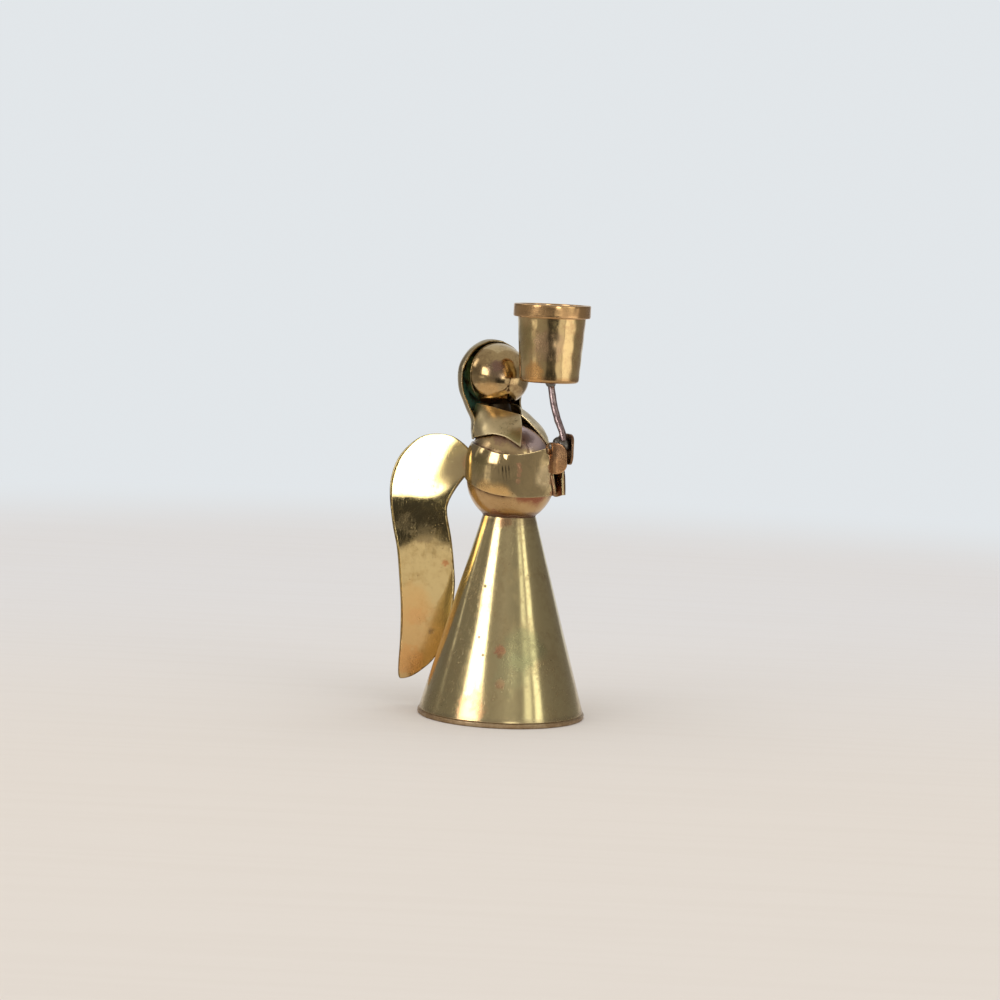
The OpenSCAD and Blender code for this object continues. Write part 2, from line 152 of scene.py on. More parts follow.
def ramp(tree, value, low, high, to_low=0.0, to_high=1.0):
    """A smooth step: to_low below low, to_high above high."""
    made = add(tree, "MapRange", {0: value, 1: low, 2: high, 3: to_low, 4: to_high},
               interpolation_type="SMOOTHSTEP")
    return made.outputs[0]


def noise(tree, where, scale, detail, **more):
    """Noise from about 0 to 1. More gives further sockets by their names."""
    return add(tree, "TexNoise", {"Vector": where, "Scale": scale, "Detail": detail, **more}).outputs[0]


def centred(tree, value):
    """The value less a half, so that noise pushes both ways."""
    return calc(tree, "SUBTRACT", value, 0.5)


def object_places(tree):
    """The object's own coordinates, in metres."""
    return add(tree, "TexCoord").outputs["Object"]


def scaled(tree, vector, factors):
    """The vector, with each part multiplied by its factor."""
    return add(tree, "VectorMath", {0: vector, 1: factors}, operation="MULTIPLY").outputs[0]


def stored(tree, name):
    """The value that a mesh stores with its points under that name."""
    return add(tree, "Attribute", attribute_name=name).outputs["Fac"]


print("a colour for a socket is", colour(0.5, 0.4, 0.3))

# %% [markdown]
# An effect that several metals share is a node group with named sockets. Each material then places the group
# with its own values, and keeps its own Principled shader. A group's output called Color is a colour, and
# its other outputs are values.

# %% Node groups
def socket_kind(value):
    """The kind of socket that holds such a value."""
    if isinstance(value, float):
        return "NodeSocketFloat"
    return "NodeSocketColor" if len(value) == 4 else "NodeSocketVector"


def node_group(name, inputs, outputs, build):
    """A node group with these inputs and outputs. Build fills its tree, and gives the sockets that feed the
    outputs, in their order."""
    group = bpy.data.node_groups.new(name, "ShaderNodeTree")
    for key, value in inputs.items():
        made = group.interface.new_socket(key, in_out="INPUT", socket_type=socket_kind(value))
        made.default_value = value
    for key in outputs:
        kind = "NodeSocketColor" if key == "Color" else "NodeSocketFloat"
        group.interface.new_socket(key, in_out="OUTPUT", socket_type=kind)
    given = group.nodes.new("NodeGroupInput").outputs
    out = group.nodes.new("NodeGroupOutput")
    fill(group, out, dict(zip(outputs, build(group, given))))
    print("group", name, "has", len(group.nodes), "nodes")
    return group


def place(tree, group, inputs):
    """Puts a node group into a material and fills its sockets."""
    made = tree.nodes.new("ShaderNodeGroup")
    made.node_tree = group
    return fill(tree, made, inputs).outputs


print("a size goes into a", socket_kind(1.0), "and a tone into a", socket_kind(colour(1, 1, 1)))

# %% [markdown]
# Old brass isn't one colour. Where hands rub it, it stays bright, and elsewhere the air lays a brown or
# olive film over it, thick in some places and thin in others. The film comes from three sizes of noise:
# broad clouds, finer mottling inside them, and dark specks where the metal has begun to pit.

# %% Group: tarnish film
MOTTLE_FINER = 7.0
SPECK_FINER = 24.0
CLOUD_SHARE = 0.55
FILM_LEVEL = 0.66
FILM_FALL = -0.5
FILM_BORDER = 0.2
SPECK_LEVEL = 0.8
SPECK_FALL = -0.3
SPECK_BORDER = 0.06
SPECK_CLOUDS = (0.42, 0.6)
MOTTLE_DULLER = 0.08
PIT_DULLER = 0.25
MOTTLE_HEIGHT = 0.25


def film_nodes(tree, given):
    """The film lies where the mix of clouds and mottling passes a level, which falls as the cover grows.
    Specks lie where the finest noise passes theirs, and only inside the clouds."""
    where = object_places(tree)
    clouds = noise(tree, where, given["Cloud Size"], 5.0, Roughness=0.62, Distortion=0.6)
    mottle_size = calc(tree, "MULTIPLY", given["Cloud Size"], MOTTLE_FINER)
    mottle = noise(tree, where, mottle_size, 4.0, Roughness=0.7)
    speck_size = calc(tree, "MULTIPLY", given["Cloud Size"], SPECK_FINER)
    speck = noise(tree, where, speck_size, 2.0)
    mixed = calc(tree, "MULTIPLY_ADD", mottle, 1 - CLOUD_SHARE, calc(tree, "MULTIPLY", clouds, CLOUD_SHARE))
    low = calc(tree, "MULTIPLY_ADD", given["Film Cover"], FILM_FALL, FILM_LEVEL)
    film = ramp(tree, mixed, low, calc(tree, "ADD", low, FILM_BORDER))
    speck_low = calc(tree, "MULTIPLY_ADD", given["Speck Cover"], SPECK_FALL, SPECK_LEVEL)
    pitted = ramp(tree, speck, speck_low, calc(tree, "ADD", speck_low, SPECK_BORDER))
    pitted = calc(tree, "MULTIPLY", pitted, ramp(tree, clouds, *SPECK_CLOUDS))
    tone = blend_colour(tree, film, given["Bare Metal"], given["Film"])
    tone = blend_colour(tree, pitted, tone, given["Deep Film"])
    dull = add(tree, "Mix", {0: film, 2: given["Bare Roughness"], 3: given["Film Roughness"]}).outputs[0]
    dull = calc(tree, "MULTIPLY_ADD", centred(tree, mottle), MOTTLE_DULLER, dull)
    dull = calc(tree, "MULTIPLY_ADD", pitted, PIT_DULLER, dull)
    height = calc(tree, "MULTIPLY_ADD", pitted, -1.0, calc(tree, "MULTIPLY", mottle, MOTTLE_HEIGHT))
    return tone, dull, height


tarnish_film = node_group("Tarnish film", {
    "Bare Metal": colour(0.6, 0.46, 0.24), "Film": colour(0.3, 0.22, 0.1),
    "Deep Film": colour(0.08, 0.05, 0.03), "Cloud Size": 60.0, "Film Cover": 0.5, "Speck Cover": 0.2,
    "Bare Roughness": 0.2, "Film Roughness": 0.4}, ("Color", "Roughness", "Height"), film_nodes)

# %% [markdown]
# Some marks belong to one place: a reddish spot, a copper patch, a blackened chest. A local mark fades out
# with the distance from its centre, and noise makes its border ragged, so that it doesn't look stamped.

# %% Group: local mark
MARK_GRAIN = 1.6
MARK_STRAY = 2.4
MARK_BORDER = (0.55, 1.1)


def mark_nodes(tree, given):
    """The share is the distance from the centre over the radius. Noise, whose size follows the radius,
    moves it, and the mark fades out over its border."""
    where = object_places(tree)
    offset = add(tree, "VectorMath", {0: where, 1: given["Centre"]}, operation="SUBTRACT").outputs[0]
    away = add(tree, "VectorMath", {0: offset}, operation="LENGTH").outputs["Value"]
    share = calc(tree, "DIVIDE", away, given["Radius"])
    ragged = noise(tree, where, calc(tree, "DIVIDE", MARK_GRAIN, given["Radius"]), 6.0, Roughness=0.65)
    ragged = calc(tree, "MULTIPLY", centred(tree, ragged), MARK_STRAY)
    share = calc(tree, "MULTIPLY_ADD", ragged, given["Raggedness"], share)
    mask = calc(tree, "MULTIPLY", ramp(tree, share, *MARK_BORDER, 1.0, 0.0), given["Strength"])
    return blend_colour(tree, mask, given["Color"], given["Mark Color"]), mask


local_mark = node_group("Local mark", {
    "Color": colour(1, 1, 1), "Mark Color": colour(0, 0, 0), "Centre": (0.0, 0.0, 0.0), "Radius": 0.002,
    "Strength": 1.0, "Raggedness": 0.5}, ("Color", "Mask"), mark_nodes)

# %% [markdown]
# A hem, a rim band or a foot is a stretch of height. The next group marks such a stretch, with the same kind
# of ragged border.

# %% Group: height band
BAND_GRAIN = 260.0


def band_nodes(tree, given):
    """The mask rises over the fade below low and falls over the fade above high. Noise lifts and drops the
    borders by up to the fade."""
    where = object_places(tree)
    height = add(tree, "SeparateXYZ", {0: where}).outputs[2]
    uneven = calc(tree, "MULTIPLY", centred(tree, noise(tree, where, BAND_GRAIN, 4.0)), given["Fade"])
    height = calc(tree, "MULTIPLY_ADD", uneven, 2.0, height)
    foot = calc(tree, "SUBTRACT", given["Low"], given["Fade"])
    head = calc(tree, "ADD", given["High"], given["Fade"])
    above = add(tree, "MapRange", {0: height, 1: foot, 2: given["Low"]}).outputs[0]
    below = add(tree, "MapRange", {0: height, 1: head, 2: given["High"]}).outputs[0]
    mask = calc(tree, "MULTIPLY", calc(tree, "MULTIPLY", above, below), given["Strength"])
    return blend_colour(tree, mask, given["Color"], given["Band Color"]), mask


height_band = node_group("Height band", {
    "Color": colour(1, 1, 1), "Band Color": colour(0, 0, 0), "Low": 0.0, "High": 0.01, "Fade": 0.001,
    "Strength": 1.0}, ("Color", "Mask"), band_nodes)

# %% [markdown]
# Polishing leaves hair-fine lines, all roughly one way. Noise that is stretched along one direction has that
# look. It only feeds the bump and a little roughness, so the lines show in the gloss and not as paint.

# %% Group: polishing lines
LINE_FINENESS = 2200.0
PATCH_SIZE = 90.0
PATCH_BORDER = (0.4, 0.62)
HAIR_BORDER = (0.5, 0.75)


def line_nodes(tree, given):
    """The hairs are stretched noise. The mask keeps the strongest, in patches."""
    where = object_places(tree)
    hairs = noise(tree, scaled(tree, where, given["Stretch"]), LINE_FINENESS, 3.0, Roughness=0.7)
    patches = ramp(tree, noise(tree, where, PATCH_SIZE, 2.0), *PATCH_BORDER)
    return hairs, calc(tree, "MULTIPLY", ramp(tree, hairs, *HAIR_BORDER), patches)


polish_lines = node_group("Polishing lines", {"Stretch": (1.0, 1.0, 0.05)}, ("Height", "Mask"), line_nodes)

# %% [markdown]
# The edges of a cut sheet are rubbed the brightest. Each sheet stores how near its border a point is, and a
# group turns that into a rubbed edge.

# %% Group: rubbed edges
RUB_GRAIN = 400.0
RUB_BORDER = (0.45, 0.95)
RUB_STRAY = 0.8


def rub_nodes(tree, given):
    """Noise moves the stored nearness, and the rub starts a little below a half."""
    worn = noise(tree, object_places(tree), RUB_GRAIN, 4.0)
    worn = calc(tree, "MULTIPLY_ADD", centred(tree, worn), RUB_STRAY, stored(tree, "edge"))
    mask = calc(tree, "MULTIPLY", ramp(tree, worn, *RUB_BORDER), given["Amount"])
    return (blend_colour(tree, mask, given["Color"], given["Rubbed"]),)


edge_rub = node_group("Edge rub", {
    "Color": colour(1, 1, 1), "Rubbed": colour(0.8, 0.65, 0.4), "Amount": 0.6}, ("Color",), rub_nodes)

# %% [markdown]
# One function makes a brass: the film first, then the bands and the local marks, then the rubbed edges and
# the dark colour along the joints, which is partly dirt and partly painted shade. Bumps are given in
# millimetres, which keeps pits and polishing lines at their real depth. The wire and the solder are metals
# with a film too, so the same function serves them.

# %% A tarnished brass
FINISH = "_finish"
JOINT_DIRT_AND_SHADE = (0.07, 0.03, 0.02)
RED_BROWN = (0.28, 0.10, 0.05)
DRY_RED = (0.30, 0.11, 0.06)
PIT_BROWN = (0.06, 0.035, 0.02)
OLIVE = (0.26, 0.21, 0.08)
EVEN = (1.0, 1.0, 1.0)
JOINT_DIRT_AND_SHADE_GRAIN = 500.0
BAND_DULLER = 0.08
MARK_DULLER = 0.12
JOINT_DIRT_AND_SHADE_DULLER = 0.25
LINE_DULLER = 0.12


def new_material(name):
    """A material with nodes, and its tree."""
    made = bpy.data.materials.new(name)
    made.use_nodes = True
    return made, made.node_tree


def brass(name, bare, film, deep, cover, size, specks, rough, marks=(), bands=(), rub=0.0,
          rub_tone=(0.8, 0.66, 0.4), stretch=(1.0, 1.0, 0.05), line_depth=0.002, pit_depth=0.008,
          inside=None):
    """A metal with three tones, bare, filmed and pitted. The film covers the share cover in clouds of that
    size, and rough is the pair of roughnesses without and with it. A mark is (tone, centre, radius,
    strength, raggedness), and a band (tone, low, high, fade, strength), both in millimetres. Inside is a
    function that finishes the inner face of a sheet."""
    made, tree = new_material(name + FINISH)
    shader = tree.nodes["Principled BSDF"]
    film_out = place(tree, tarnish_film, {
        "Bare Metal": colour(*bare), "Film": colour(*film), "Deep Film": colour(*deep), "Cloud Size": size,
        "Film Cover": cover, "Speck Cover": specks, "Bare Roughness": rough[0], "Film Roughness": rough[1]})
    tone = film_out["Color"]
    dull = film_out["Roughness"]
    for tint, low, high, fade, strength in bands:
        found = place(tree, height_band, {"Color": tone, "Band Color": colour(*tint), "Low": low * MM,
                                          "High": high * MM, "Fade": fade * MM, "Strength": strength})
        tone = found["Color"]
        dull = calc(tree, "MULTIPLY_ADD", found["Mask"], BAND_DULLER, dull)
    for tint, centre, radius, strength, raggedness in marks:
        found = place(tree, local_mark, {
            "Color": tone, "Mark Color": colour(*tint), "Centre": [x * MM for x in centre],
            "Radius": radius * MM, "Strength": strength, "Raggedness": raggedness})
        tone = found["Color"]
        dull = calc(tree, "MULTIPLY_ADD", found["Mask"], MARK_DULLER, dull)
    if inside:
        tone, dull = inside(tree, shader, tone, dull)
    if rub:
        tone = place(tree, edge_rub, {"Color": tone, "Rubbed": colour(*rub_tone), "Amount": rub})["Color"]
    # The joints darken: partly dirt, partly painted shade where two parts meet.
    patchy = noise(tree, object_places(tree), JOINT_DIRT_AND_SHADE_GRAIN, 5.0)
    joint = calc(tree, "MULTIPLY", stored(tree, "joint"), calc(tree, "MULTIPLY_ADD", patchy, 1.2, 0.3))
    joint = calc(tree, "MINIMUM", joint, 1.0)
    tone = blend_colour(tree, joint, tone, colour(*JOINT_DIRT_AND_SHADE))
    dull = calc(tree, "MULTIPLY_ADD", joint, JOINT_DIRT_AND_SHADE_DULLER, dull)
    lines = place(tree, polish_lines, {"Stretch": stretch})
    dull = calc(tree, "MULTIPLY_ADD", lines["Mask"], LINE_DULLER, dull)
    pits = add(tree, "Bump", {"Height": film_out["Height"], "Distance": pit_depth * MM, "Strength": 1.0})
    hairs = add(tree, "Bump", {"Height": lines["Height"], "Distance": line_depth * MM, "Strength": 1.0,
                               "Normal": pits.outputs[0]})
    fill(tree, shader, {"Base Color": tone, "Roughness": dull, "Metallic": 1.0, "Normal": hairs.outputs[0]})
    print(made.name, "has", len(marks), "marks and", len(bands), "bands")
    return made


print("the grime's grain is about", 1 / (JOINT_DIRT_AND_SHADE_GRAIN * MM), "mm")

# %% [markdown]
# Every new surface is a grid of points that numpy works out at once. The grid becomes quads, and points that
# share a place are merged, which closes seams and poles. The normals of the closed shell are then turned
# outwards.

# %% Curves, directions and waves
def catmull(points, t):
    """A smooth curve through the points, read at t from 0 to 1. Between two points it is the usual
    cubic whose slopes are half the step from the point before to the point after."""
    points = np.asarray(points, float)
    last = len(points) - 1
    at = np.clip(t, 0, 1) * last
    i = np.minimum(np.floor(at).astype(int), last - 1)
    f = (at - i)[..., None]
    a, b, c, d = (points[np.clip(i + k, 0, last)] for k in (-1, 0, 1, 2))
    return 0.5 * (2 * b + (c - a) * f + (2 * a - 5 * b + 4 * c - d) * f ** 2
                  + (3 * b - a - 3 * c + d) * f ** 3)


def unit(v):
    """The vectors at length 1."""
    return v / np.maximum(np.linalg.norm(v, axis=-1, keepdims=True), 1e-9)


def ripple(points, size, seed):
    """Smooth noise from about -1 to 1: a sum of six sine waves, whose directions and phases come from the
    seed and whose length is about the size in millimetres."""
    draw = np.random.default_rng(seed)
    waves = unit(draw.normal(size=(6, 3))) * (2 * math.pi / size) * draw.uniform(0.7, 1.4, (6, 1))
    return np.sin(points @ waves.T + draw.uniform(0, 2 * math.pi, 6)).mean(-1) * 2


def full_turn(steps):
    """Evenly spaced bearings of a whole turn, without the last, which would be the first again."""
    return np.linspace(0, 2 * math.pi, steps, endpoint=False)


def upright(r, turn, z):
    """Points round the upright axis: the radius times the bearing's cosine and sine, and the height."""
    return np.stack(np.broadcast_arrays(r * np.cos(turn), r * np.sin(turn), z), -1)


print("a quarter along, a curve is at", catmull([(0, 0), (1, 2), (2, 0)], np.array(0.25)))


# %% From grids to pieces
def grid_quads(rows, cols, first=0, wrap_rows=False, wrap_cols=False):
    """The quads between neighbouring points of a grid, whose points are numbered row by row."""
    index = np.arange(rows * cols).reshape(rows, cols) + first
    if wrap_rows:
        index = np.vstack([index, index[:1]])
    if wrap_cols:
        index = np.hstack([index, index[:, :1]])
    return np.stack([index[:-1, :-1], index[:-1, 1:], index[1:, 1:], index[1:, :-1]], -1).reshape(-1, 4)


def closed_mesh(name, points, quads, values=None):
    """A smooth mesh of points in millimetres. Doubles are merged and normals point outwards.
    Values are stored with the points, under their names, for the materials."""
    mesh = bpy.data.meshes.new(name)
    mesh.from_pydata((points.reshape(-1, 3) * MM).tolist(), [], quads.tolist())
    for key, value in (values or {}).items():
        mesh.attributes.new(key, "FLOAT", "POINT").data.foreach_set("value", value.astype(np.float32))
    work = bmesh.new()
    work.from_mesh(mesh)
    bmesh.ops.remove_doubles(work, verts=work.verts, dist=2e-7)
    bmesh.ops.recalc_face_normals(work, faces=work.faces)
    work.to_mesh(mesh)
    work.free()
    mesh.polygons.foreach_set("use_smooth", np.ones(len(mesh.polygons), bool))
    return mesh


def box_mm(node):
    """The lowest and highest corner of a node of the frame, in millimetres."""
    low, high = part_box(node)
    return np.array(low) / MM, np.array(high) / MM


def show(mesh, material, node):
    """Adds the finished piece. It rides on the one body and stands for its node of the frame. The
    printed figure is how far its box is from the node's, at most."""
    piece = put(mesh.name, mesh)
    mesh.materials.append(material)
    points = np.array([corner[:] for corner in piece.bound_box]) / MM
    low, high = box_mm(node)
    off = max(np.abs(points.min(0) - low).max(), np.abs(points.max(0) - high).max())
    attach(piece, "root")
    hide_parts(node)
    print("%-20s %6d points, box %.2f mm off" % (piece.name, len(mesh.vertices), off))
    return piece


print("a grid of 4 by 5 points has", len(grid_quads(4, 5)), "quads")

# %% [markdown]
# The skirt, the ring, the torso and the cup are all round: they were rolled, drawn or turned. Each is a
# profile carried round an axis. The profile's corners get small arcs, because real metal has no perfectly
# sharp edge and an arc is what catches a thin line of light.

# %% Profiles carried round an axis
ARC_POINTS = 7


def rounded(corners, radii, longest=1.0, closed=True):
    """An outline through the corners, with an arc of the given radius at each, and with points added until
    no side is longer than longest. An arc touches both sides at the same distance from the corner, which
    is its radius over the tangent of half the angle between the sides."""
    corners = np.asarray(corners, float)
    pieces = []
    for k, (corner, radius) in enumerate(zip(corners, radii)):
        if not closed and k in (0, len(corners) - 1) or radius == 0:
            pieces.append(corner[None])
            continue
        back = unit(corners[k - 1] - corner)
        on = unit(corners[(k + 1) % len(corners)] - corner)
        half = math.acos(np.clip(back @ on, -1, 1)) / 2
        middle = corner + unit(back + on) * radius / math.sin(half)
        start = corner + back * radius / math.tan(half) - middle
        end = corner + on * radius / math.tan(half) - middle
        share = np.linspace(0, 1, ARC_POINTS)[:, None]
        pieces.append(middle + unit(start * (1 - share) + end * share) * radius)
    line = np.concatenate(pieces)
    ends = np.vstack([line, line[:1]]) if closed else line
    fine = []
    for a, b in zip(ends[:-1], ends[1:]):
        count = max(1, math.ceil(np.linalg.norm(b - a) / longest))
        fine.append(a + (b - a) * np.linspace(0, 1, count, endpoint=False)[:, None])
    if not closed:
        fine.append(ends[-1:])
    return np.concatenate(fine)


def turned(name, profile, around, axis=(0, 0), closed=True, dents=0.0, dent_size=9.0, seed=1, edge=None):
    """A profile of (radius, height) carried round an upright axis: each point is radius times the cosine
    and sine of the bearing. Dents move it along the radius by smooth noise, which fades towards the axis."""
    bearing = full_turn(around)
    r = profile[:, None, 0]
    points = upright(r, bearing, profile[:, None, 1])
    fade = np.clip(r / 3, 0, 1)
    points = points + upright(1, bearing, 0) * (fade * dents * ripple(points, dent_size, seed))[..., None]
    points = points + np.array([axis[0], axis[1], 0])
    values = {"edge": np.repeat(edge(profile), around)} if edge else {}
    quads = grid_quads(len(profile), around, wrap_rows=closed, wrap_cols=True)
    return closed_mesh(name, points, quads, values)


print("a rounded square has", len(rounded([(0, 0), (1, 0), (1, 1), (0, 1)], (0.1,) * 4)), "points")

# %% [markdown]
# The skirt's brass has an even olive film and is still fairly bright. A reddish spot, a few pits and two
# greenish patches sit where the photo has them. The hem has gone brown, and so has the waist, where the
# torch was. The ring below the hem was never polished.

# %% Skirt and ring: metal
GREENISH = (0.40, 0.40, 0.21)
DEEP_GREEN = (0.25, 0.26, 0.13)
COPPER = (0.60, 0.33, 0.16)
SKIRT_RED = (0.56, 0.22, 0.12)
SKIRT_ORANGE = (0.56, 0.26, 0.14)

skirt_brass = brass(
    "skirt_brass", (0.60, 0.48, 0.25), (0.48, 0.36, 0.18), (0.12, 0.08, 0.04), 0.42, 70, 0.42, (0.15, 0.23),
    marks=[(SKIRT_RED, (-14.1, -16.4, 25.3), 2.2, 0.8, 0.7),
           (RED_BROWN, (-14.5, -16.8, 23.6), 1.0, 0.7, 0.8),
           (SKIRT_ORANGE, (-15.6, -19.0, 14.6), 2.0, 0.6, 0.8),
           (PIT_BROWN, (-14.2, -6.8, 46.2), 0.7, 0.8, 0.6),
           (PIT_BROWN, (-18.1, -9.6, 29.3), 0.6, 0.8, 0.6),
           (PIT_BROWN, (-18.3, -12.4, 23.6), 0.6, 0.8, 0.7),
           (GREENISH, (-11.5, -20.5, 18.6), 8.0, 0.35, 0.6),
           (DEEP_GREEN, (-7.2, -20.7, 26.0), 9.0, 0.5, 0.6),
           (COPPER, (-23.3, -13.5, 6.2), 6.0, 0.7, 0.8),
           (RED_BROWN, (-6.9, -6.6, 67.8), 2.6, 0.45, 0.7)],
    bands=[((0.34, 0.25, 0.14), 0.0, 2.2, 1.4, 0.6), ((0.30, 0.20, 0.11), 67.4, 72.0, 1.5, 0.5)], rub=0.2)
ring_brass = brass("ring_brass", (0.42, 0.31, 0.19), (0.30, 0.20, 0.11), (0.06, 0.04, 0.03), 0.55, 90, 0.5,
                   (0.36, 0.5), stretch=EVEN)

# %% [markdown]
# The skirt is one sheet rolled into a cone. Its outside was drawn over a mandrel, so it is very nearly true,
# but a hand can feel shallow waves in it. They bend the long highlights a little, and a perfect cone would
# look like plastic. Its hem sits on a separate ring, and a dark line shows between the two.

# %% Skirt and ring: shape
SHEET = 0.6
SKIRT_SLOPE = 0.284
RING_WIDTH = 1.9
WORN_END = 0.6

skirt_low, skirt_high = box_mm("skirt_cone")
hem_r = skirt_high[0]
hem_z = skirt_low[2]
waist_z = skirt_high[2]
waist_r = hem_r - SKIRT_SLOPE * (waist_z - hem_z)


def near_ends(profile):
    """1 at the skirt's two ends: the exponential of minus the distance over the worn end."""
    away = np.minimum(profile[:, 1] - hem_z, waist_z - profile[:, 1])
    return np.exp(-np.maximum(away, 0) / WORN_END)


skirt_profile = rounded([(hem_r - SHEET, hem_z), (hem_r, hem_z), (waist_r, waist_z),
                         (waist_r - SHEET, waist_z)], (0.15, 0.22, 0.15, 0.15), longest=0.8)
show(turned("skirt_sheet", skirt_profile, 288, dents=0.05, dent_size=17, seed=3, edge=near_ends),
     skirt_brass, "skirt_cone")

ring_low, ring_high = box_mm("base_ring")
ring_r = ring_high[0]
ring_profile = rounded([(ring_r - RING_WIDTH, ring_low[2]), (ring_r, ring_low[2]), (ring_r, ring_high[2]),
                        (ring_r - RING_WIDTH, ring_high[2])], (0.3, 0.4, 0.4, 0.3), longest=0.6)
show(turned("ring_band", ring_profile, 288, dents=0.03, dent_size=8, seed=5), ring_brass, "base_ring")

# %% [markdown]
# The torso is two drawn domes that meet at the arms' height. A drawn dome is thinnest at its crown and has a
# slightly rippled skirt. Each dome keeps its own rounded lip, so that the joint is a true hairline. The
# chest, which the collar shades, was never cleaned and is mauve; its black patch under the collar is partly
# dirt and partly painted shade. The belly is orange, and dry red flux is left below the sleeves.

# %% Torso domes
CHEST_MAUVE = (0.52, 0.40, 0.40)
CHEST_DIRT_AND_SHADE = (0.14, 0.10, 0.10)
torso_brass = brass(
    "torso_brass", (0.60, 0.43, 0.22), (0.47, 0.32, 0.16), (0.10, 0.055, 0.035), 0.45, 80, 0.4, (0.11, 0.2),
    marks=[(CHEST_MAUVE, (1.0, -9.5, 96.5), 9.5, 0.95, 0.5),
           # This black mark under the collar is partly dirt and partly painted shade.
           (CHEST_DIRT_AND_SHADE, (-2.6, -10.6, 97.0), 3.0, 0.7, 0.7),
           ((0.30, 0.16, 0.13), (-9.0, -6.0, 95.6), 3.4, 0.6, 0.7),
           (DRY_RED, (0.5, -14.2, 78.4), 5.4, 0.95, 0.3),
           (DRY_RED, (-4.4, -13.0, 78.0), 3.8, 0.9, 0.3),
           (RED_BROWN, (-9.0, -4.0, 71.0), 2.6, 0.5, 0.7)],
    bands=[((0.55, 0.33, 0.14), 60.0, 80.0, 4.0, 0.6), ((0.20, 0.12, 0.07), 66.0, 70.6, 1.0, 0.85)])

low_box, low_top = box_mm("torso_lower_shell")
high_top = box_mm("torso_upper_shell")[1]
torso_r = low_top[0]
seam_z = low_top[2]
low_centre = low_box[2] + torso_r
high_centre = high_top[2] - torso_r


def dome_profile(centre_z, pole_sign):
    """Half of a sphere's outline from its pole to the rounded lip at the seam, then back inside by the
    sheet's thickness."""
    turn = np.linspace(0, math.pi / 2, 60)
    outer, inner = (np.stack([r * np.sin(turn), centre_z + pole_sign * r * np.cos(turn)], -1)
                    for r in (torso_r, torso_r - SHEET))
    lip = np.array([(torso_r, seam_z + pole_sign * 0.12), (torso_r - 0.04, seam_z + pole_sign * 0.04),
                    (torso_r - 0.12, seam_z), (torso_r - SHEET, seam_z)])
    return np.concatenate([outer, lip, inner[::-1]])


def torso_dome(name, centre_z, pole_sign, seed, node):
    """One dome, with its shallow dents."""
    return show(turned(name, dome_profile(centre_z, pole_sign), 224, closed=False, dents=0.06, dent_size=13,
                       seed=seed), torso_brass, node)


low_dome = torso_dome("torso_low_dome", low_centre, -1, 7, "torso_lower_shell")
high_dome = torso_dome("torso_high_dome", high_centre, 1, 8, "torso_upper_shell")

# %% [markdown]
# The waist joint is a thin uneven fillet of solder between the skirt's top and the torso. Soft solder is
# dull grey, and here it has browned with age. Its section rides on the torso's own outline, so no gap can
# open.

# %% Waist fillet
solder = brass("solder", (0.20, 0.18, 0.16), (0.11, 0.095, 0.08), (0.03, 0.025, 0.02), 0.5, 140, 0.5,
               (0.3, 0.46), bands=[((0.17, 0.09, 0.05), 60.0, 73.0, 1.0, 0.9)], stretch=EVEN, pit_depth=0.05)
FILLET_OUTSIDE = ((0.0, 0.0), (0.15, 0.5), (0.4, 0.8), (0.7, 0.45), (1.0, 0.0))
FILLET_INSIDE = (1.0, 0.5, 0.0)
FILLET_DEPTH = 0.25


def torso_radius(z):
    """The torso's outer radius at a height: upright between the two centres, and a circle beyond them."""
    beyond = np.maximum(np.maximum(low_centre - z, z - high_centre), 0)
    return np.sqrt(np.maximum(torso_r ** 2 - beyond ** 2, 0))


def waist_fillet(around=224):
    """A closed section carried round: its foot is the skirt's top edge, its head the torso's wall, and
    noise makes the head climb and fall by a few tenths."""
    bearing = full_turn(around)
    ring_points = upright(12, bearing, 0)
    climb = 0.95 + 0.25 * ripple(ring_points, 5, 11)
    bulge = 0.35 + 0.1 * ripple(ring_points, 3, 12)
    section = []
    for share, out in FILLET_OUTSIDE:
        z = waist_z - 0.1 + share * climb
        wall = np.maximum(torso_radius(z), waist_r if share == 0 else 0)
        section.append(np.stack([wall + bulge * out, z], -1))
    for share in FILLET_INSIDE:
        z = waist_z - 0.1 + share * climb
        section.append(np.stack([torso_radius(z) - FILLET_DEPTH, z], -1))
    section = np.stack(section)
    quads = grid_quads(len(section), around, wrap_rows=True, wrap_cols=True)
    return closed_mesh("waist_fillet", upright(section[..., 0], bearing, section[..., 1]), quads)


show(waist_fillet(), solder, "waist_solder")

# %% [markdown]
# The head is an egg, a little longer than it is wide, with its long axis tilted so that the chin points
# forward. It is blank on the real object too. It was pressed as a front and a back half, and the seam runs
# over the crown and down both sides. Its brass is well polished, so it mirrors the cup and the room.

# %% Head domes
head_brass = brass(
    "head_brass", (0.51, 0.365, 0.18), (0.33, 0.22, 0.105), (0.12, 0.065, 0.04), 0.5, 95, 0.35, (0.1, 0.17),
    marks=[((0.20, 0.13, 0.09), (-6.6, 1.6, 119.0), 3.8, 0.75, 0.5),
           ((0.26, 0.14, 0.11), (-6.0, 2.2, 120.4), 2.4, 0.6, 0.9),
           # This orange mark low on the near side is a painted reflection.
           ((0.72, 0.44, 0.18), (-8.0, 4.5, 110.0), 6.0, 0.6, 0.4),
           # This near-black mark under the head, by the neck, is a painted shadow.
           ((0.10, 0.055, 0.04), (-1.5, 6.5, 106.0), 4.5, 0.8, 0.5)])

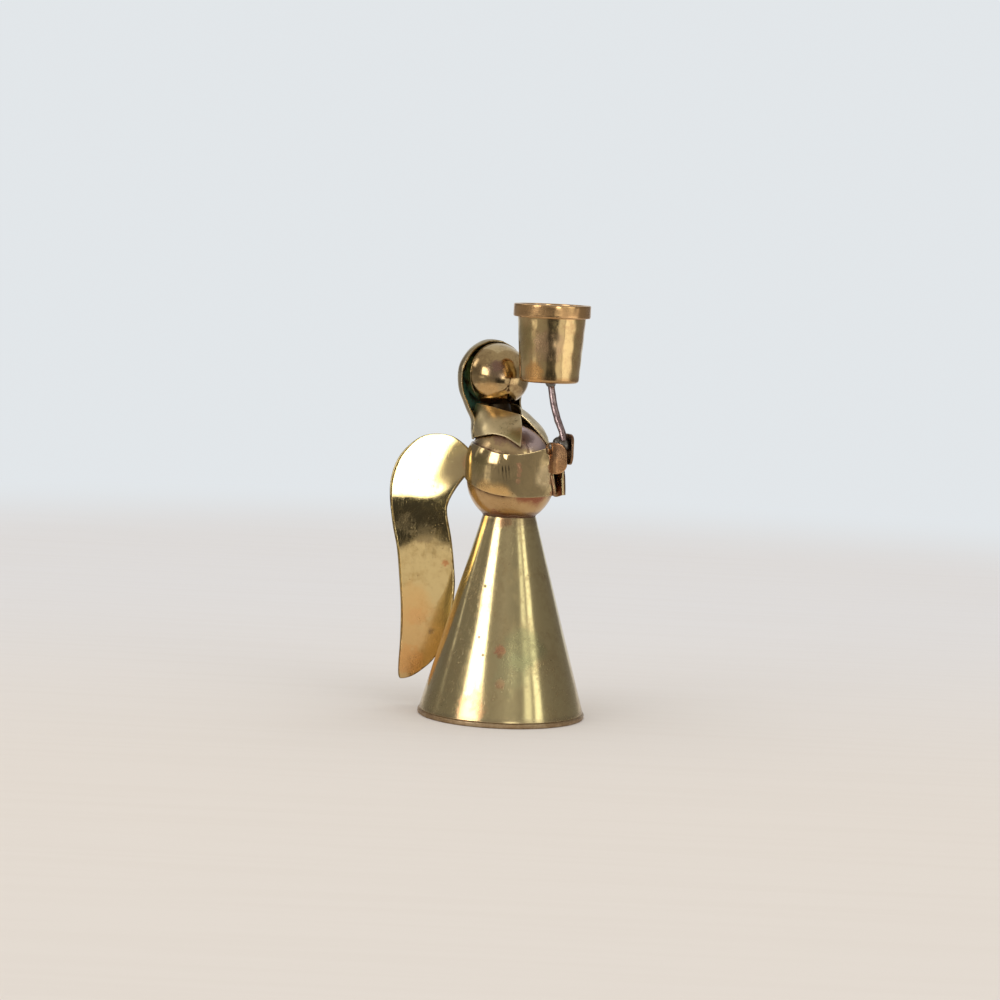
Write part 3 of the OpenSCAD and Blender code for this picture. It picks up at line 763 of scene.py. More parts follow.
front_low, front_high = box_mm("head_front_shell")
back_low, back_high = box_mm("head_back_shell")
head_low = np.minimum(front_low, back_low)
head_high = np.maximum(front_high, back_high)
head_centre = (head_low + head_high) / 2
head_wide = (head_high[0] - head_low[0]) / 2
HEAD_TILT = math.radians(45)
HEAD_SWELL = np.array([1.06, 1.09, 1.0])
HEAD_AROUND = 200
HEAD_DENTS = 0.045
SEAM_DEPTHS = (0.1, 0.03)
head_half = (head_high[2] - head_low[2]) / 2
head_long = math.sqrt(head_half ** 2 - (head_wide * math.sin(HEAD_TILT)) ** 2) / math.cos(HEAD_TILT)


def egg_radius(direction):
    """How far the egg's surface is from its centre in a direction: one over the root of the sum of the
    squares of the direction's parts, each over its half axis."""
    along = direction @ np.array([0, -math.sin(HEAD_TILT), -math.cos(HEAD_TILT)])
    across = 1 - along ** 2
    return 1 / np.sqrt(along ** 2 / head_long ** 2 + across / head_wide ** 2)


def head_dome(name, side, seed=21):
    """Half of the egg. Rows go from the seam to the pole that faces front or back, first outside and then
    inside, so that the dome is a closed shell. The first two rows sink a little, which makes the seam."""
    bearing = full_turn(HEAD_AROUND)
    rise = np.concatenate([[0.0, 0.004, 0.012], np.linspace(0.03, math.pi / 2, 56)])
    direction = np.stack(np.broadcast_arrays(
        np.cos(rise)[:, None] * np.cos(bearing), side * np.sin(rise)[:, None],
        np.cos(rise)[:, None] * np.sin(bearing)), -1)
    outer = direction * egg_radius(direction)[..., None]
    outer = outer + direction * (HEAD_DENTS * ripple(outer, 8, seed))[..., None]
    inner = direction * (egg_radius(direction) - SHEET)[..., None]
    for row, depth in enumerate(SEAM_DEPTHS):
        outer[row] -= direction[row] * depth
    rows = np.concatenate([outer[::-1], inner]) * HEAD_SWELL + head_centre
    return closed_mesh(name, rows, grid_quads(len(rows), HEAD_AROUND, wrap_cols=True))


show(head_dome("head_front_dome", -1), head_brass, "head_front_shell")
show(head_dome("head_back_dome", 1), head_brass, "head_back_shell")

# %% [markdown]
# The cup was drawn from a disc: a rounded foot, a wall that opens a little, and a rim band. Inside, the seat
# for the candle is a true cylinder, with a step where the wall narrows. Heat has turned its foot and its
# band an orange brown.

# %% Candle cup
CUP_FOOT_R = 9.9
CUP_TOP_R = 11.5
CUP_BAND_H = 4.4
SEAT_R = 11.05
CUP_WALL = 0.5
cup_low, cup_high = box_mm("candle_cup")
cup_axis = ((cup_low[0] + cup_high[0]) / 2, (cup_low[1] + cup_high[1]) / 2)
band_r = (cup_high[0] - cup_low[0]) / 2
cup_foot_z = cup_low[2]
cup_rim_z = cup_high[2]
band_z = cup_rim_z - CUP_BAND_H

cup_brass = brass(
    "cup_brass", (0.60, 0.43, 0.20), (0.50, 0.32, 0.15), (0.12, 0.075, 0.035), 0.45, 70, 0.35, (0.13, 0.2),
    # The first mark, orange low on the near side, is a painted reflection of the table.
    marks=[((0.70, 0.36, 0.12), (-10.3, -22.4, 119.5), 4.4, 0.8, 0.5),
           (OLIVE, (-10.8, -17.0, 130.0), 7.0, 0.5, 0.5),
           ((0.52, 0.32, 0.20), (-7.6, -27.0, 129.0), 6.0, 0.5, 0.5),
           (PIT_BROWN, (-6.9, -27.1, 140.1), 1.3, 0.8, 0.5)],
    bands=[((0.42, 0.24, 0.10), 115.5, 117.6, 1.2, 0.8), ((0.54, 0.31, 0.14), 138.0, 143.0, 0.5, 0.85)],
    rub=0.2)
cup_profile = rounded(
    [(0, cup_foot_z), (CUP_FOOT_R, cup_foot_z), (CUP_TOP_R, band_z), (band_r, band_z),
     (band_r + 0.02, cup_rim_z), (SEAT_R, cup_rim_z), (SEAT_R, band_z),
     (CUP_FOOT_R - CUP_WALL, cup_foot_z + 1.2),
     (CUP_FOOT_R - CUP_WALL - 0.6, cup_foot_z + CUP_WALL), (0, cup_foot_z + CUP_WALL)],
    (0, 1.3, 0.18, 0.5, 0.45, 0.35, 0.1, 0.3, 0.2, 0), longest=0.7, closed=False)


def near_rim(profile):
    """1 at the lip and at the band's lower corner, fading over half a millimetre."""
    lip = np.exp(-np.abs(profile[:, 1] - cup_rim_z) / 0.4)
    step = np.exp(-np.hypot(profile[:, 0] - band_r, profile[:, 1] - band_z) / 0.5)
    return np.maximum(lip, step)


show(turned("cup_drawn", cup_profile, 256, axis=cup_axis, closed=False, dents=0.045, dent_size=6, seed=15,
            edge=near_rim), cup_brass, "candle_cup")

# %% [markdown]
# Veil, collar, sleeves, hands and wings are cut from sheet and bent. All of them share one construction: a
# grid is the sheet's face, the same grid moved back along its normals is the other side, and a strip with a
# rounded section closes the border. The points just inside the border lie close together, so the rounding
# stays narrow and the face stays flat beside it.

# %% Bent sheets
EDGE_FADE = 0.7


def edge_steps(count, inset=0.004):
    """Numbers from 0 to 1 with two extra steps close to each end."""
    return np.concatenate([[0, inset, 3 * inset], np.linspace(0, 1, count + 1)[1:-1],
                           [1 - 3 * inset, 1 - inset, 1]])


def grid_normals(grid):
    """Unit normals: the cross product of the grid's two directions."""
    return unit(np.cross(np.gradient(grid, axis=0), np.gradient(grid, axis=1)))


def round_border(values):
    """The border of a grid as one closed loop: first row, last column, last row, first column."""
    return np.concatenate([values[0, :-1], values[:-1, -1], values[-1, :0:-1], values[:0:-1, 0]])


def mirrored(grid):
    """The same grid on the other side, with its columns turned round so that the face still looks out."""
    return (grid * np.array([-1, 1, 1]))[:, ::-1]


def sheet_mesh(name, front, thickness=SHEET, lip=0.14, steady=0):
    """A closed sheet. The border's section is a rounded box: across the sheet it is half the thickness
    times the square root of the cosine, and outwards the lip times the square root of the sine. Where a
    grid's first rows draw together, the row called steady lends them its normals. The sheet stores how
    near the border a point is, and whether it is on the inner face."""
    normal = grid_normals(front)
    normal[:steady] = normal[steady]
    back = front - thickness * normal
    border = round_border(front)
    border_normal = round_border(normal)
    outward = unit(np.cross(np.roll(border, -1, 0) - np.roll(border, 1, 0), border_normal))
    middle_col = front.shape[1] // 2
    if (front[0, middle_col] - front[1, middle_col]) @ outward[middle_col] < 0:
        outward = -outward
    turn = np.linspace(0, math.pi, 9)[:, None, None]
    across = np.sign(np.cos(turn)) * np.sqrt(np.abs(np.cos(turn)))
    out_by = np.sqrt(np.abs(np.sin(turn)))
    strip = (border - border_normal * thickness / 2 + border_normal * thickness / 2 * across
             + outward * lip * out_by)
    rows, cols = front.shape[:2]
    flat = front.reshape(-1, 3)
    gap = np.sqrt(((flat[:, None] - border[None]) ** 2).sum(-1)).min(1)
    nearness = np.exp(-gap / EDGE_FADE)
    strip_ones = np.ones(len(strip) * len(border))
    points = np.concatenate([flat, back.reshape(-1, 3), strip.reshape(-1, 3)])
    face = grid_quads(rows, cols)
    quads = np.concatenate([face, face[:, ::-1] + rows * cols,
                            grid_quads(len(strip), len(border), 2 * rows * cols, wrap_cols=True)])
    inner = np.concatenate([np.zeros(rows * cols), np.ones(rows * cols), 0 * strip_ones])
    return closed_mesh(name, points, quads, {"edge": np.concatenate([nearness, nearness, strip_ones]),
                                             "inner": inner})


print("places that draw together at both ends:", np.round(edge_steps(5, 0.02), 2))

# %% [markdown]
# The veil is a hood behind the head that runs down to the shoulders. Its inside is dark, and green copper
# salts have grown there, because polish never reached it. Salts aren't metal, so they lower Metallic too. On
# the left half the inside is painted black as shade.

# %% Veil: metal
SALT_GREEN = (0.26, 0.58, 0.40)
HOOD_BROWN = (0.30, 0.25, 0.14)
INNER_SHADE_BLACK = (0.02, 0.015, 0.01)
SALT_GRAIN = 210.0
INNER_SHADE_BORDER = (0.002, 0.008)


def salted_and_shaded(tree, shader, tone, dull):
    """The inner face is brown, with a crust of salts where noise is high, and painted black as shade on the
    far side.
    """
    inner = stored(tree, "inner")
    where = object_places(tree)
    crust = noise(tree, where, SALT_GRAIN, 6.0)
    far_side = ramp(tree, add(tree, "SeparateXYZ", {0: where}).outputs[0], *INNER_SHADE_BORDER)
    dark = blend_colour(tree, inner, tone, colour(*HOOD_BROWN))
    # The far half's inner face is painted black as shade.
    dark = blend_colour(tree, calc(tree, "MULTIPLY", far_side, inner), dark, colour(*INNER_SHADE_BLACK))
    crust = calc(tree, "MULTIPLY", ramp(tree, crust, 0.42, 0.58), calc(tree, "SUBTRACT", inner, far_side))
    crust = calc(tree, "MAXIMUM", crust, 0.0)
    fill(tree, shader, {"Metallic": calc(tree, "MULTIPLY_ADD", crust, -0.9, 1.0)})
    return blend_colour(tree, crust, dark, colour(*SALT_GREEN)), calc(tree, "MULTIPLY_ADD", inner, 0.3, dull)


veil_brass = brass("veil_brass", (0.46, 0.36, 0.21), (0.34, 0.26, 0.14), (0.10, 0.07, 0.05), 0.5, 75, 0.4,
                   (0.2, 0.32), rub=0.1, inside=salted_and_shaded)

# %% [markdown]
# Two curves describe the hood: the front rim on one side and the spine down the back. Between them each
# level is part of an oval, from rim to rim.

# %% Veil: shape
VEIL_RIM = [(3.2, 11.6, 128.4), (8.5, 11.8, 126.3), (12, 12, 123.4), (14.6, 12.4, 119), (15, 12.8, 114.8),
            (14.5, 12.4, 110.6), (13.3, 11.2, 107), (12.6, 9.6, 104.3), (11.5, 8.4, 101.2),
            (11.6, 8.2, 97.6), (11, 8.2, 95)]
VEIL_SPINE = [(0, 11.6, 128.8), (0, 15.2, 128.7), (0, 18.8, 126.6), (0, 21.4, 123), (0, 22.5, 118),
              (0, 22.2, 113), (0, 20.8, 108.6), (0, 19, 104.6), (0, 17.4, 101.2), (0, 16.8, 98),
              (0, 16.8, 95)]
VEIL_WRAP = math.radians(50)
VEIL_TUCK = 1.6
TUCK_START = 0.72


def veil_grid():
    """For a level and a turn from one rim to the other: sideways the rim's half width times the sine of
    the turn over the sine of the wrap, and forward from the spine towards the rim by one less the cosine.
    The last part before each rim is tucked in towards the head."""
    level = edge_steps(70)
    turn = VEIL_WRAP * (1 - 2 * edge_steps(70))
    rim = catmull(VEIL_RIM, level)[:, None]
    spine = catmull(VEIL_SPINE, level)[:, None]
    out_share = (np.sin(turn) / math.sin(VEIL_WRAP))[:, None]
    forward = ((1 - np.cos(turn)) / (1 - math.cos(VEIL_WRAP)))[:, None]
    flat = spine + (rim - spine) * forward
    by_rim = np.clip((np.abs(turn) / VEIL_WRAP - TUCK_START) / (1 - TUCK_START), 0, 1)[:, None] ** 2
    tuck = VEIL_TUCK * np.sin(math.pi * level)[:, None, None] * by_rim * np.sign(turn)[:, None]
    grid = np.concatenate([rim[..., :1] * out_share - tuck, flat[..., 1:]], -1)
    return grid + grid_normals(grid) * (0.08 * ripple(grid, 9, 31))[..., None]


show(sheet_mesh("veil_sheet", veil_grid(), steady=6), veil_brass, "veil")

# %% [markdown]
# The collar stands round the neck like a short cape and is open in front. Its upper and lower edges are two
# curves, and the sheet between them bulges outwards near the opening. It is the dullest sheet, with small
# dark pits and an olive stain by the opening.

# %% Collar
COLLAR_TOP = [(0.4, -4.1, 104.2), (3.4, 0.2, 105.2), (6, 4.2, 106.2), (7.6, 8.6, 106.8), (6.6, 13, 106.8),
              (0, 16, 106.6)]
COLLAR_LOW = [(6.2, -12.4, 94.2), (8.8, -8.2, 96.9), (11, -4, 97.8), (12.4, 0.4, 97), (11.8, 5.4, 96),
              (8.6, 10.6, 95.3), (0, 13.8, 95)]
COLLAR_AXIS_Y = 4
COLLAR_BULGE = 1.3
collar_brass = brass(
    "collar_brass", (0.60, 0.47, 0.26), (0.46, 0.36, 0.19), (0.09, 0.06, 0.035), 0.45, 85, 0.62,
    (0.32, 0.42), marks=[(OLIVE, (-6.6, -9.8, 96.6), 3.8, 0.75, 0.2),
                         ((0.32, 0.16, 0.11), (6.0, -8.2, 102.5), 2.4, 0.6, 0.6)],
    rub=0.6)


def collar_grid():
    """Half of the collar runs from the opening to the nape, and its mirror image runs back. Height shares h
    go from the upper edge down, and the bulge is greatest in the middle, where 4 h (1 - h) is 1."""
    share = edge_steps(60)
    k = 1 - np.abs(2 * share - 1)
    h = edge_steps(24)[:, None, None]
    top = catmull(COLLAR_TOP, k)
    low = catmull(COLLAR_LOW, k)
    flat = top + (low - top) * h
    out = flat - np.array([0, COLLAR_AXIS_Y, 0])
    out[..., 2] = 0
    flat = flat + unit(out) * (COLLAR_BULGE * (1 - k ** 2))[:, None] * 4 * h * (1 - h)
    flat[..., 0] *= np.where(share < 0.5, 1, -1)
    return flat + grid_normals(flat) * (0.1 * ripple(flat, 6, 35))[..., None]


show(sheet_mesh("collar_sheet", collar_grid()), collar_brass, "collar")

# %% [markdown]
# The sleeves' brass has a row of rosy scratches where it leaves the torso, and the torch has browned the
# cuff. Two light tan patches below the elbow are a painted reflection of the table, and a soft pale one
# before the cuff is a painted highlight; they follow the photo.

# %% Sleeves: metal
ROSE = (0.60, 0.30, 0.17)
TAN_PAINTED_REFLECTION = (0.74, 0.46, 0.18)
PALE_PAINTED_HIGHLIGHT = (0.74, 0.56, 0.31)
SLEEVE_LINING = (0.27, 0.13, 0.07)


def lined(tree, shader, tone, dull):
    """The inner face is mostly red-brown and a little duller."""
    inner = stored(tree, "inner")
    tone = blend_colour(tree, calc(tree, "MULTIPLY", inner, 0.85), tone, colour(*SLEEVE_LINING))
    return tone, calc(tree, "MULTIPLY_ADD", inner, 0.1, dull)


sleeve_brass = brass(
    "sleeve_brass", (0.48, 0.35, 0.175), (0.36, 0.26, 0.13), (0.10, 0.06, 0.035), 0.42, 75, 0.4,
    (0.11, 0.19),
    marks=[(ROSE, (-8.5, -14.9, 88.0), 1.1, 0.6, 0.5), (ROSE, (-8.2, -15.2, 86.3), 1.1, 0.6, 0.5),
           (ROSE, (-8.4, -15.0, 84.6), 1.0, 0.6, 0.5), (ROSE, (-8.5, -14.8, 82.6), 1.1, 0.5, 0.5),
           # These two light tan marks are a painted reflection of the table.
           (TAN_PAINTED_REFLECTION, (-14.6, -5.0, 78.4), 4.6, 0.8, 0.3), (TAN_PAINTED_REFLECTION, (-12.0, -9.8, 78.2), 4.2, 0.8, 0.3),
           # The pale mark here is a painted soft highlight.
           (OLIVE, (-15.5, -1.5, 87.5), 4.5, 0.5, 0.8), (PALE_PAINTED_HIGHLIGHT, (-3.6, -23.2, 84.5), 4.4, 0.75, 0.3),
           (RED_BROWN, (-2.5, -25.2, 88.0), 1.6, 0.7, 0.7), (RED_BROWN, (-2.2, -25.6, 83.0), 1.5, 0.7, 0.8),
           (RED_BROWN, (-2.1, -26.0, 79.0), 1.6, 0.7, 0.7)],
    rub=0.15, inside=lined)

# %% [markdown]
# Each arm is a wide band. It hugs the torso at the back, leaves it at the side and swings forward in a
# smooth S to the cuff. Small wrinkles at the elbow show where the band was bent by hand. The band is one
# grid, so that the highlights run on without a break where it leaves the torso.

# %% Sleeves: shape
SLEEVE_GAP = 0.12
SLEEVE_LEAVE = math.radians(46)
CUFF = np.array([-2.4, -25.5])
CUFF_TURN = math.radians(67)
SLEEVE_BACK = (-1.60, -1.72)
SLEEVE_FRONT = (0.9, 1.09)
ELBOW_WRINKLES = [(-0.10, 0.42, 0.8), (-0.02, 0.40, 1.0), (0.045, 0.42, 0.8), (0.11, 0.40, 1.0)]
WRINKLE_DEPTH = 0.11
WRINKLE_WIDTH = 0.02
WRINKLE_LENGTH = 0.15
WRINKLE_SLANT = 0.12
SLEEVE_TOP_Z = 91.2
SLEEVE_LOW_Z = 77.1
LOWEST_AT = 0.2


def smooth(x):
    """A smooth step from 0 to 1."""
    x = np.clip(x, 0, 1)
    return x ** 2 * (3 - 2 * x)


def sleeve_top(s):
    """Height of the band's upper edge at the place s. It climbs a little towards the back and the cuff."""
    return SLEEVE_TOP_Z + np.where(s < 0, 2.6 * (1 - np.exp(-(s / 0.55) ** 2)), 4.2 * s ** 2)


def sleeve_bottom(s):
    """Height of the band's lower edge at the place s. It climbs to both sides of its lowest place."""
    away = (s - LOWEST_AT) ** 2
    return SLEEVE_LOW_Z + np.where(s < LOWEST_AT, 3.4 * np.tanh(away / 1.6) * 1.6, 2.4 * away)


def sleeve_grid():
    """The right sleeve. The place s is 0 where the band leaves the torso and 1 at the cuff. Behind 0 the
    band is an arc round the torso. Past it, it is a cubic whose ends have the arc's and the cuff's
    direction."""
    v = edge_steps(36)[:, None]
    u = edge_steps(250)[None]
    back = SLEEVE_BACK[0] + (SLEEVE_BACK[1] - SLEEVE_BACK[0]) * v
    front = SLEEVE_FRONT[0] + (SLEEVE_FRONT[1] - SLEEVE_FRONT[0]) * v
    s = back + (front - back) * u
    z = sleeve_top(s) + (sleeve_bottom(s) - sleeve_top(s)) * v
    flatten = smooth((s + 0.05) / (0.15 + 0.37 * v ** 2))
    r = torso_radius(z) * (1 - flatten) + torso_r * flatten + SLEEVE_GAP + SHEET
    start = np.stack([-r * math.sin(SLEEVE_LEAVE), -r * math.cos(SLEEVE_LEAVE)], -1)
    reach = np.linalg.norm(CUFF - start, axis=-1)
    leave = np.array([math.cos(SLEEVE_LEAVE), -math.sin(SLEEVE_LEAVE)]) * reach[..., None]
    arrive = np.array([math.cos(CUFF_TURN), -math.sin(CUFF_TURN)]) * reach[..., None]
    t = s[..., None]
    swing = ((2 * t ** 3 - 3 * t ** 2 + 1) * start + (t ** 3 - 2 * t ** 2 + t) * leave
             + (3 * t ** 2 - 2 * t ** 3) * CUFF + (t ** 3 - t ** 2) * arrive)
    turn = SLEEVE_LEAVE - s * reach / r
    hug = np.stack([-r * np.sin(turn), -r * np.cos(turn)], -1)
    grid = np.concatenate([np.where(t < 0, hug, swing), z[..., None]], -1)
    bend = 0.1 * ripple(grid, 10, 41) * np.clip(s / 0.3, 0, 1) ** 2
    for at, middle, depth in ELBOW_WRINKLES:
        slant = s - at - WRINKLE_SLANT * (v - middle)
        bend = bend - (WRINKLE_DEPTH * depth * np.exp(-(slant / WRINKLE_WIDTH) ** 2)
                       * np.exp(-((v - middle) / WRINKLE_LENGTH) ** 2))
    normal = grid_normals(grid)
    outward = np.sign((normal[..., :2] * grid[..., :2]).sum(-1).mean())
    return grid + normal * outward * bend[..., None]


right_sleeve_grid = sleeve_grid()
left_sleeve_grid = mirrored(right_sleeve_grid)
show(sheet_mesh("right_sleeve_sheet", right_sleeve_grid), sleeve_brass, "right_sleeve")
show(sheet_mesh("left_sleeve_sheet", left_sleeve_grid), sleeve_brass, "left_sleeve")

# %% [markdown]
# A hand is a small tab with round corners that leaves the cuff and closes on the wire. Its outline is a
# rounded oblong, bent along a short curve, and hammered a little hollow. The left hand sits higher, and it
# is painted nearly black as shade.

# %% Hands
HAND_LEN = 9.6
HAND_H = 9.8
HAND_Z = 91.3
HAND_LIFT = 3
HAND_TIP_Y = 31.3
HAND_CORNER = 3.2
HAND_LINE = [(-2.4, -21), (-1.8, -24.6), (-1.8, -28), (-1, -32)]
HAND_T = 0.9
HAND_SWELL = 1.0
HAND_LIP = 0.3
hand_brass = brass(
    "hand_brass", (0.66, 0.36, 0.16), (0.40, 0.19, 0.09), (0.06, 0.035, 0.025), 0.5, 70, 0.15, (0.16, 0.26),
    # This near-black mark on the left hand is painted shade.
    marks=[((0.07, 0.05, 0.04), (3.0, -27.0, 94.3), 7.5, 0.9, 0.3)], line_depth=0.0004, pit_depth=0.003)


def hand_grid(middle_z):
    """Along the tab, the height of a row shrinks near the ends by the corner's arc: half the height less
    the corner, plus the root of the corner squared less the overshoot squared."""
    along = edge_steps(40, inset=0.002)
    up = np.linspace(-1, 1, 41)[:, None]
    y = HAND_LEN / 2 - HAND_TIP_Y + HAND_LEN * (0.5 - along)
    over = np.clip(np.abs(along - 0.5) * HAND_LEN - (HAND_LEN / 2 - HAND_CORNER), 0, HAND_CORNER * 0.995)
    half = HAND_H / 2 - HAND_CORNER + np.sqrt(HAND_CORNER ** 2 - over ** 2)
    line = catmull(HAND_LINE, np.linspace(0, 1, 80))
    x = np.interp(-y, -line[:, 1], line[:, 0])
    grid = np.stack(np.broadcast_arrays(x - HAND_T / 2, y, middle_z + half * up), -1)[:, ::-1]
    swell = HAND_SWELL * (1 - (2 * along[::-1] - 1) ** 2)
    return grid - np.array([1, 0, 0]) * (swell + 0.1 * ripple(grid, 5, 51))[..., None]


show(sheet_mesh("right_hand_tab", hand_grid(HAND_Z), HAND_T, HAND_LIP), hand_brass, "right_hand")
show(sheet_mesh("left_hand_tab", mirrored(hand_grid(HAND_Z + HAND_LIFT)), HAND_T, HAND_LIP),
     hand_brass, "left_hand")

# %% [markdown]
# The wire was blackened by the torch: a brown-purple skin with a soft shine. It is a tube carried along a
# smooth line. Its thickness wavers, because solder and soot cling to it.

# %% Wire
STEM_R = 1.15
WIRE_END = (0.85, 0.55)
STEM_LINE = [(19.6, 116.2), (20.3, 113.4), (21.9, 108.4), (24.3, 103.8), (26.9, 99.8), (28.2, 95.6),
             (28.4, 91)]
dark_wire = brass("dark_wire", (0.36, 0.27, 0.265), (0.17, 0.11, 0.105), (0.03, 0.02, 0.02), 0.5, 120, 0.5,
                  (0.28, 0.4), stretch=(1.0, 1.0, 0.08), pit_depth=0.05)


def wire_mesh(sides=40, rings=150):
    """Circles square to the line. Along the line the radius changes by a few hundredths with noise, and
    the last rings draw in to a rounded end."""
    line = catmull(STEM_LINE, np.linspace(0, 1, rings))
    middle = np.stack([0 * line[:, 0], -line[:, 0], line[:, 1]], -1)
    run = unit(np.gradient(middle, axis=0))
    run[0] = (0, 0, -1)
    side = np.array([1.0, 0, 0])
    other = np.cross(run, side)
    turn = full_turn(sides)[None, :, None]
    ring_out = side * np.cos(turn) + other[:, None] * np.sin(turn)
    skin = np.full(rings, STEM_R)
    skin[-2:] *= WIRE_END
    points = middle[:, None] + ring_out * skin[:, None, None]
    points = points + ring_out * (0.05 * ripple(points, 2.5, 61))[..., None]
    ends = [np.repeat(middle[k, None, None], sides, 1) for k in (0, -1)]
    points = np.concatenate([ends[0], points, ends[1]])
    return closed_mesh("stem_wire", points, grid_quads(rings + 2, sides, wrap_cols=True))


show(wire_mesh(), dark_wire, "candle_stem")

# %% [markdown]
# A lump of solder is round where it was molten and uneven where it froze. Seen from its middle, it is a
# surface at one distance in each direction: the farthest of a few overlapping balls, softened, plus noise.
# The one at the hands is four balls run together.

# %% Solder at the hands
HAND_BALLS = [(0, -25.6, 96.2, 2.4), (0, -28, 95.6, 2.2), (-2, -24.4, 95, 1.5), (2, -24.4, 95, 1.5)]
BALL_MERGE = 3
MERGE_EXCESS = 0.12


def lump_mesh(name, balls, waves=0.1, wave_size=1.6, seed=71, rows=72, cols=96):
    """In each direction the distance to a ball's far side is b plus the root of b squared less c. Here b
    is the ball's centre along the direction, and c its squared distance less its squared radius. A soft
    maximum joins the balls."""
    balls = np.asarray(balls, float)
    middle = balls[0, :3]
    rise = np.linspace(-math.pi / 2, math.pi / 2, rows)[:, None]
    turn = full_turn(cols)[None]
    way = upright(np.cos(rise), turn, np.sin(rise))
    total = 0
    for x, y, z, r in balls:
        offset = np.array([x, y, z]) - middle
        b = way @ offset
        inside = b ** 2 - (offset @ offset - r ** 2)
        far = np.where(inside > 0, b + np.sqrt(np.maximum(inside, 0)), 0)
        total = total + np.exp(np.maximum(far, 0) * BALL_MERGE)
    reach = np.log(total) / BALL_MERGE - MERGE_EXCESS
    reach = reach + waves * ripple(middle + way * reach[..., None], wave_size, seed)
    points = middle + way * reach[..., None]
    return closed_mesh(name, points, grid_quads(rows, cols, wrap_cols=True))


show(lump_mesh("hand_lump", HAND_BALLS), solder, "hand_solder")

# %% [markdown]
# Each wing is held by an upright bead of solder at its root, and the cup by a small fillet round the wire's
# top end. The beads are capsules, and the fillet is turned like the cup itself.

# %% Solder at the wings and the cup
BEAD_R = 1.25
BEAD_X = 5.2
BEAD_Y = 14.7
CUP_FILLET = [(0, 0), (2.4, 0), (1.75, -0.45), (1.3, -1.4), (0, -1.4)]
bead_low, bead_high = box_mm("left_wing_solder")


def bead_mesh(name, side, seed, rows=60, cols=48):
    """The bead between a wing's root and the torso: a capsule whose radius wavers."""
    z = np.linspace(bead_low[2], bead_high[2], rows)[:, None]
    end = np.minimum(z - bead_low[2], bead_high[2] - z)
    skin = BEAD_R * np.sqrt(np.clip(1 - (1 - np.minimum(end / BEAD_R, 1)) ** 2, 0, 1))
    centre = np.array([side * BEAD_X, BEAD_Y, 0])
    points = upright(skin, full_turn(cols)[None], z) + centre
    out = points - centre
    out[..., 2] = 0
    points = points + out * (0.12 * ripple(points, 3, seed))[..., None]
    return closed_mesh(name, points, grid_quads(rows, cols, wrap_cols=True))


show(bead_mesh("left_wing_bead", 1, 81), solder, "left_wing_solder")
show(bead_mesh("right_wing_bead", -1, 82), solder, "right_wing_solder")
fillet_profile = rounded(np.array(CUP_FILLET) + [0, cup_foot_z], (0, 0.1, 0.7, 0.2, 0), longest=0.15,
                         closed=False)
show(turned("cup_fillet", fillet_profile, 64, axis=(0, -STEM_LINE[0][0]), closed=False, dents=0.12,
            dent_size=2, seed=91), solder, "cup_solder")

# %% [markdown]
# The wings are the brightest sheets, so their lobes mirror the window as a white field. Lower down, heat and
# handling have coloured them from tan to orange, with a few small brown marks. Their cut edge is dark.

# %% Wings: metal
WING_ORANGE = (0.80, 0.50, 0.21)
WING_BROWN = (0.42, 0.32, 0.17)
wing_brass = brass(
    "wing_brass", (0.72, 0.56, 0.27), (0.58, 0.42, 0.18), (0.20, 0.11, 0.05), 0.4, 60, 0.35, (0.07, 0.12),
    marks=[(WING_ORANGE, (-22.0, 27.0, 20.0), 19.0, 0.7, 0.6),
           ((0.85, 0.44, 0.16), (-19.4, 28.8, 15.9), 6.0, 0.6, 0.9),
           ((0.80, 0.48, 0.18), (-22.0, 26.5, 36.0), 9.0, 0.4, 0.5),
           ((0.80, 0.44, 0.18), (-19.1, 25.6, 31.8), 4.0, 0.5, 1.0),
           ((0.62, 0.25, 0.10), (-12.1, 19.4, 50.8), 1.5, 0.7, 0.9),
           ((0.22, 0.13, 0.07), (-11.8, 19.2, 50.4), 0.5, 0.8, 0.5),
           ((0.30, 0.19, 0.10), (-13.9, 23.5, 26.5), 1.3, 0.7, 0.9),
           ((0.42, 0.30, 0.16), (-8.0, 17.0, 82.0), 8.5, 0.6, 0.4),
           (WING_BROWN, (-25.0, 26.0, 64.0), 4.0, 0.6, 1.0),
           (WING_BROWN, (-19.0, 23.5, 61.0), 4.0, 0.5, 1.0),
           ((0.66, 0.36, 0.17), (-5.0, 15.5, 86.0), 4.0, 0.6, 0.5)],
    rub=0.75, rub_tone=(0.14, 0.11, 0.05))

# %% [markdown]
# A wing is a flat-cut sheet with a bend across it. Its outline is a closed curve that has one inner and one
# outer point at every height, so rows run between the two. It was creased at its waist, so that the lobe
# above leans back, and below the crease there is only a slight bow. Hammering has left it slightly wavy, and
# that is what breaks up its reflections.

# %% Wings: shape
WING_SWEEP = math.radians(30)
WING_ROOT = (5.4, 14.6)
WING_WAIST_Z = 72
WING_BEND_LOW = 300
WING_SLOPE = 0.083
WING_CREASE = 4
WING_CURL = 0.0008
WING_BACK = 0.5
OUTLINE_POINTS = 1200
ROOT_CURL = 0.008
ROOT_CURL_REACH = 14
ROOT_CURL_Z = 84
ROOT_CURL_FADE = 8
WING_OUTLINE = [(0, 89.4), (3.2, 92.3), (7.4, 94.8), (12.6, 95.5), (17.6, 94.5), (22, 91.4), (25.8, 86.6),
                (28, 80), (28.2, 73), (26.9, 64), (25, 55.4), (23.7, 45), (22.7, 35), (22.3, 24), (22.4, 14),
                (22, 9.8), (20.6, 9.2), (17.4, 10.2), (13.6, 13), (10.4, 16.4), (7.2, 22.4), (5.2, 31),
                (4.4, 42), (5.1, 50.2), (6.5, 59.6), (8.3, 68), (8, 72), (5.8, 76.6), (2.6, 81.2), (0, 83)]


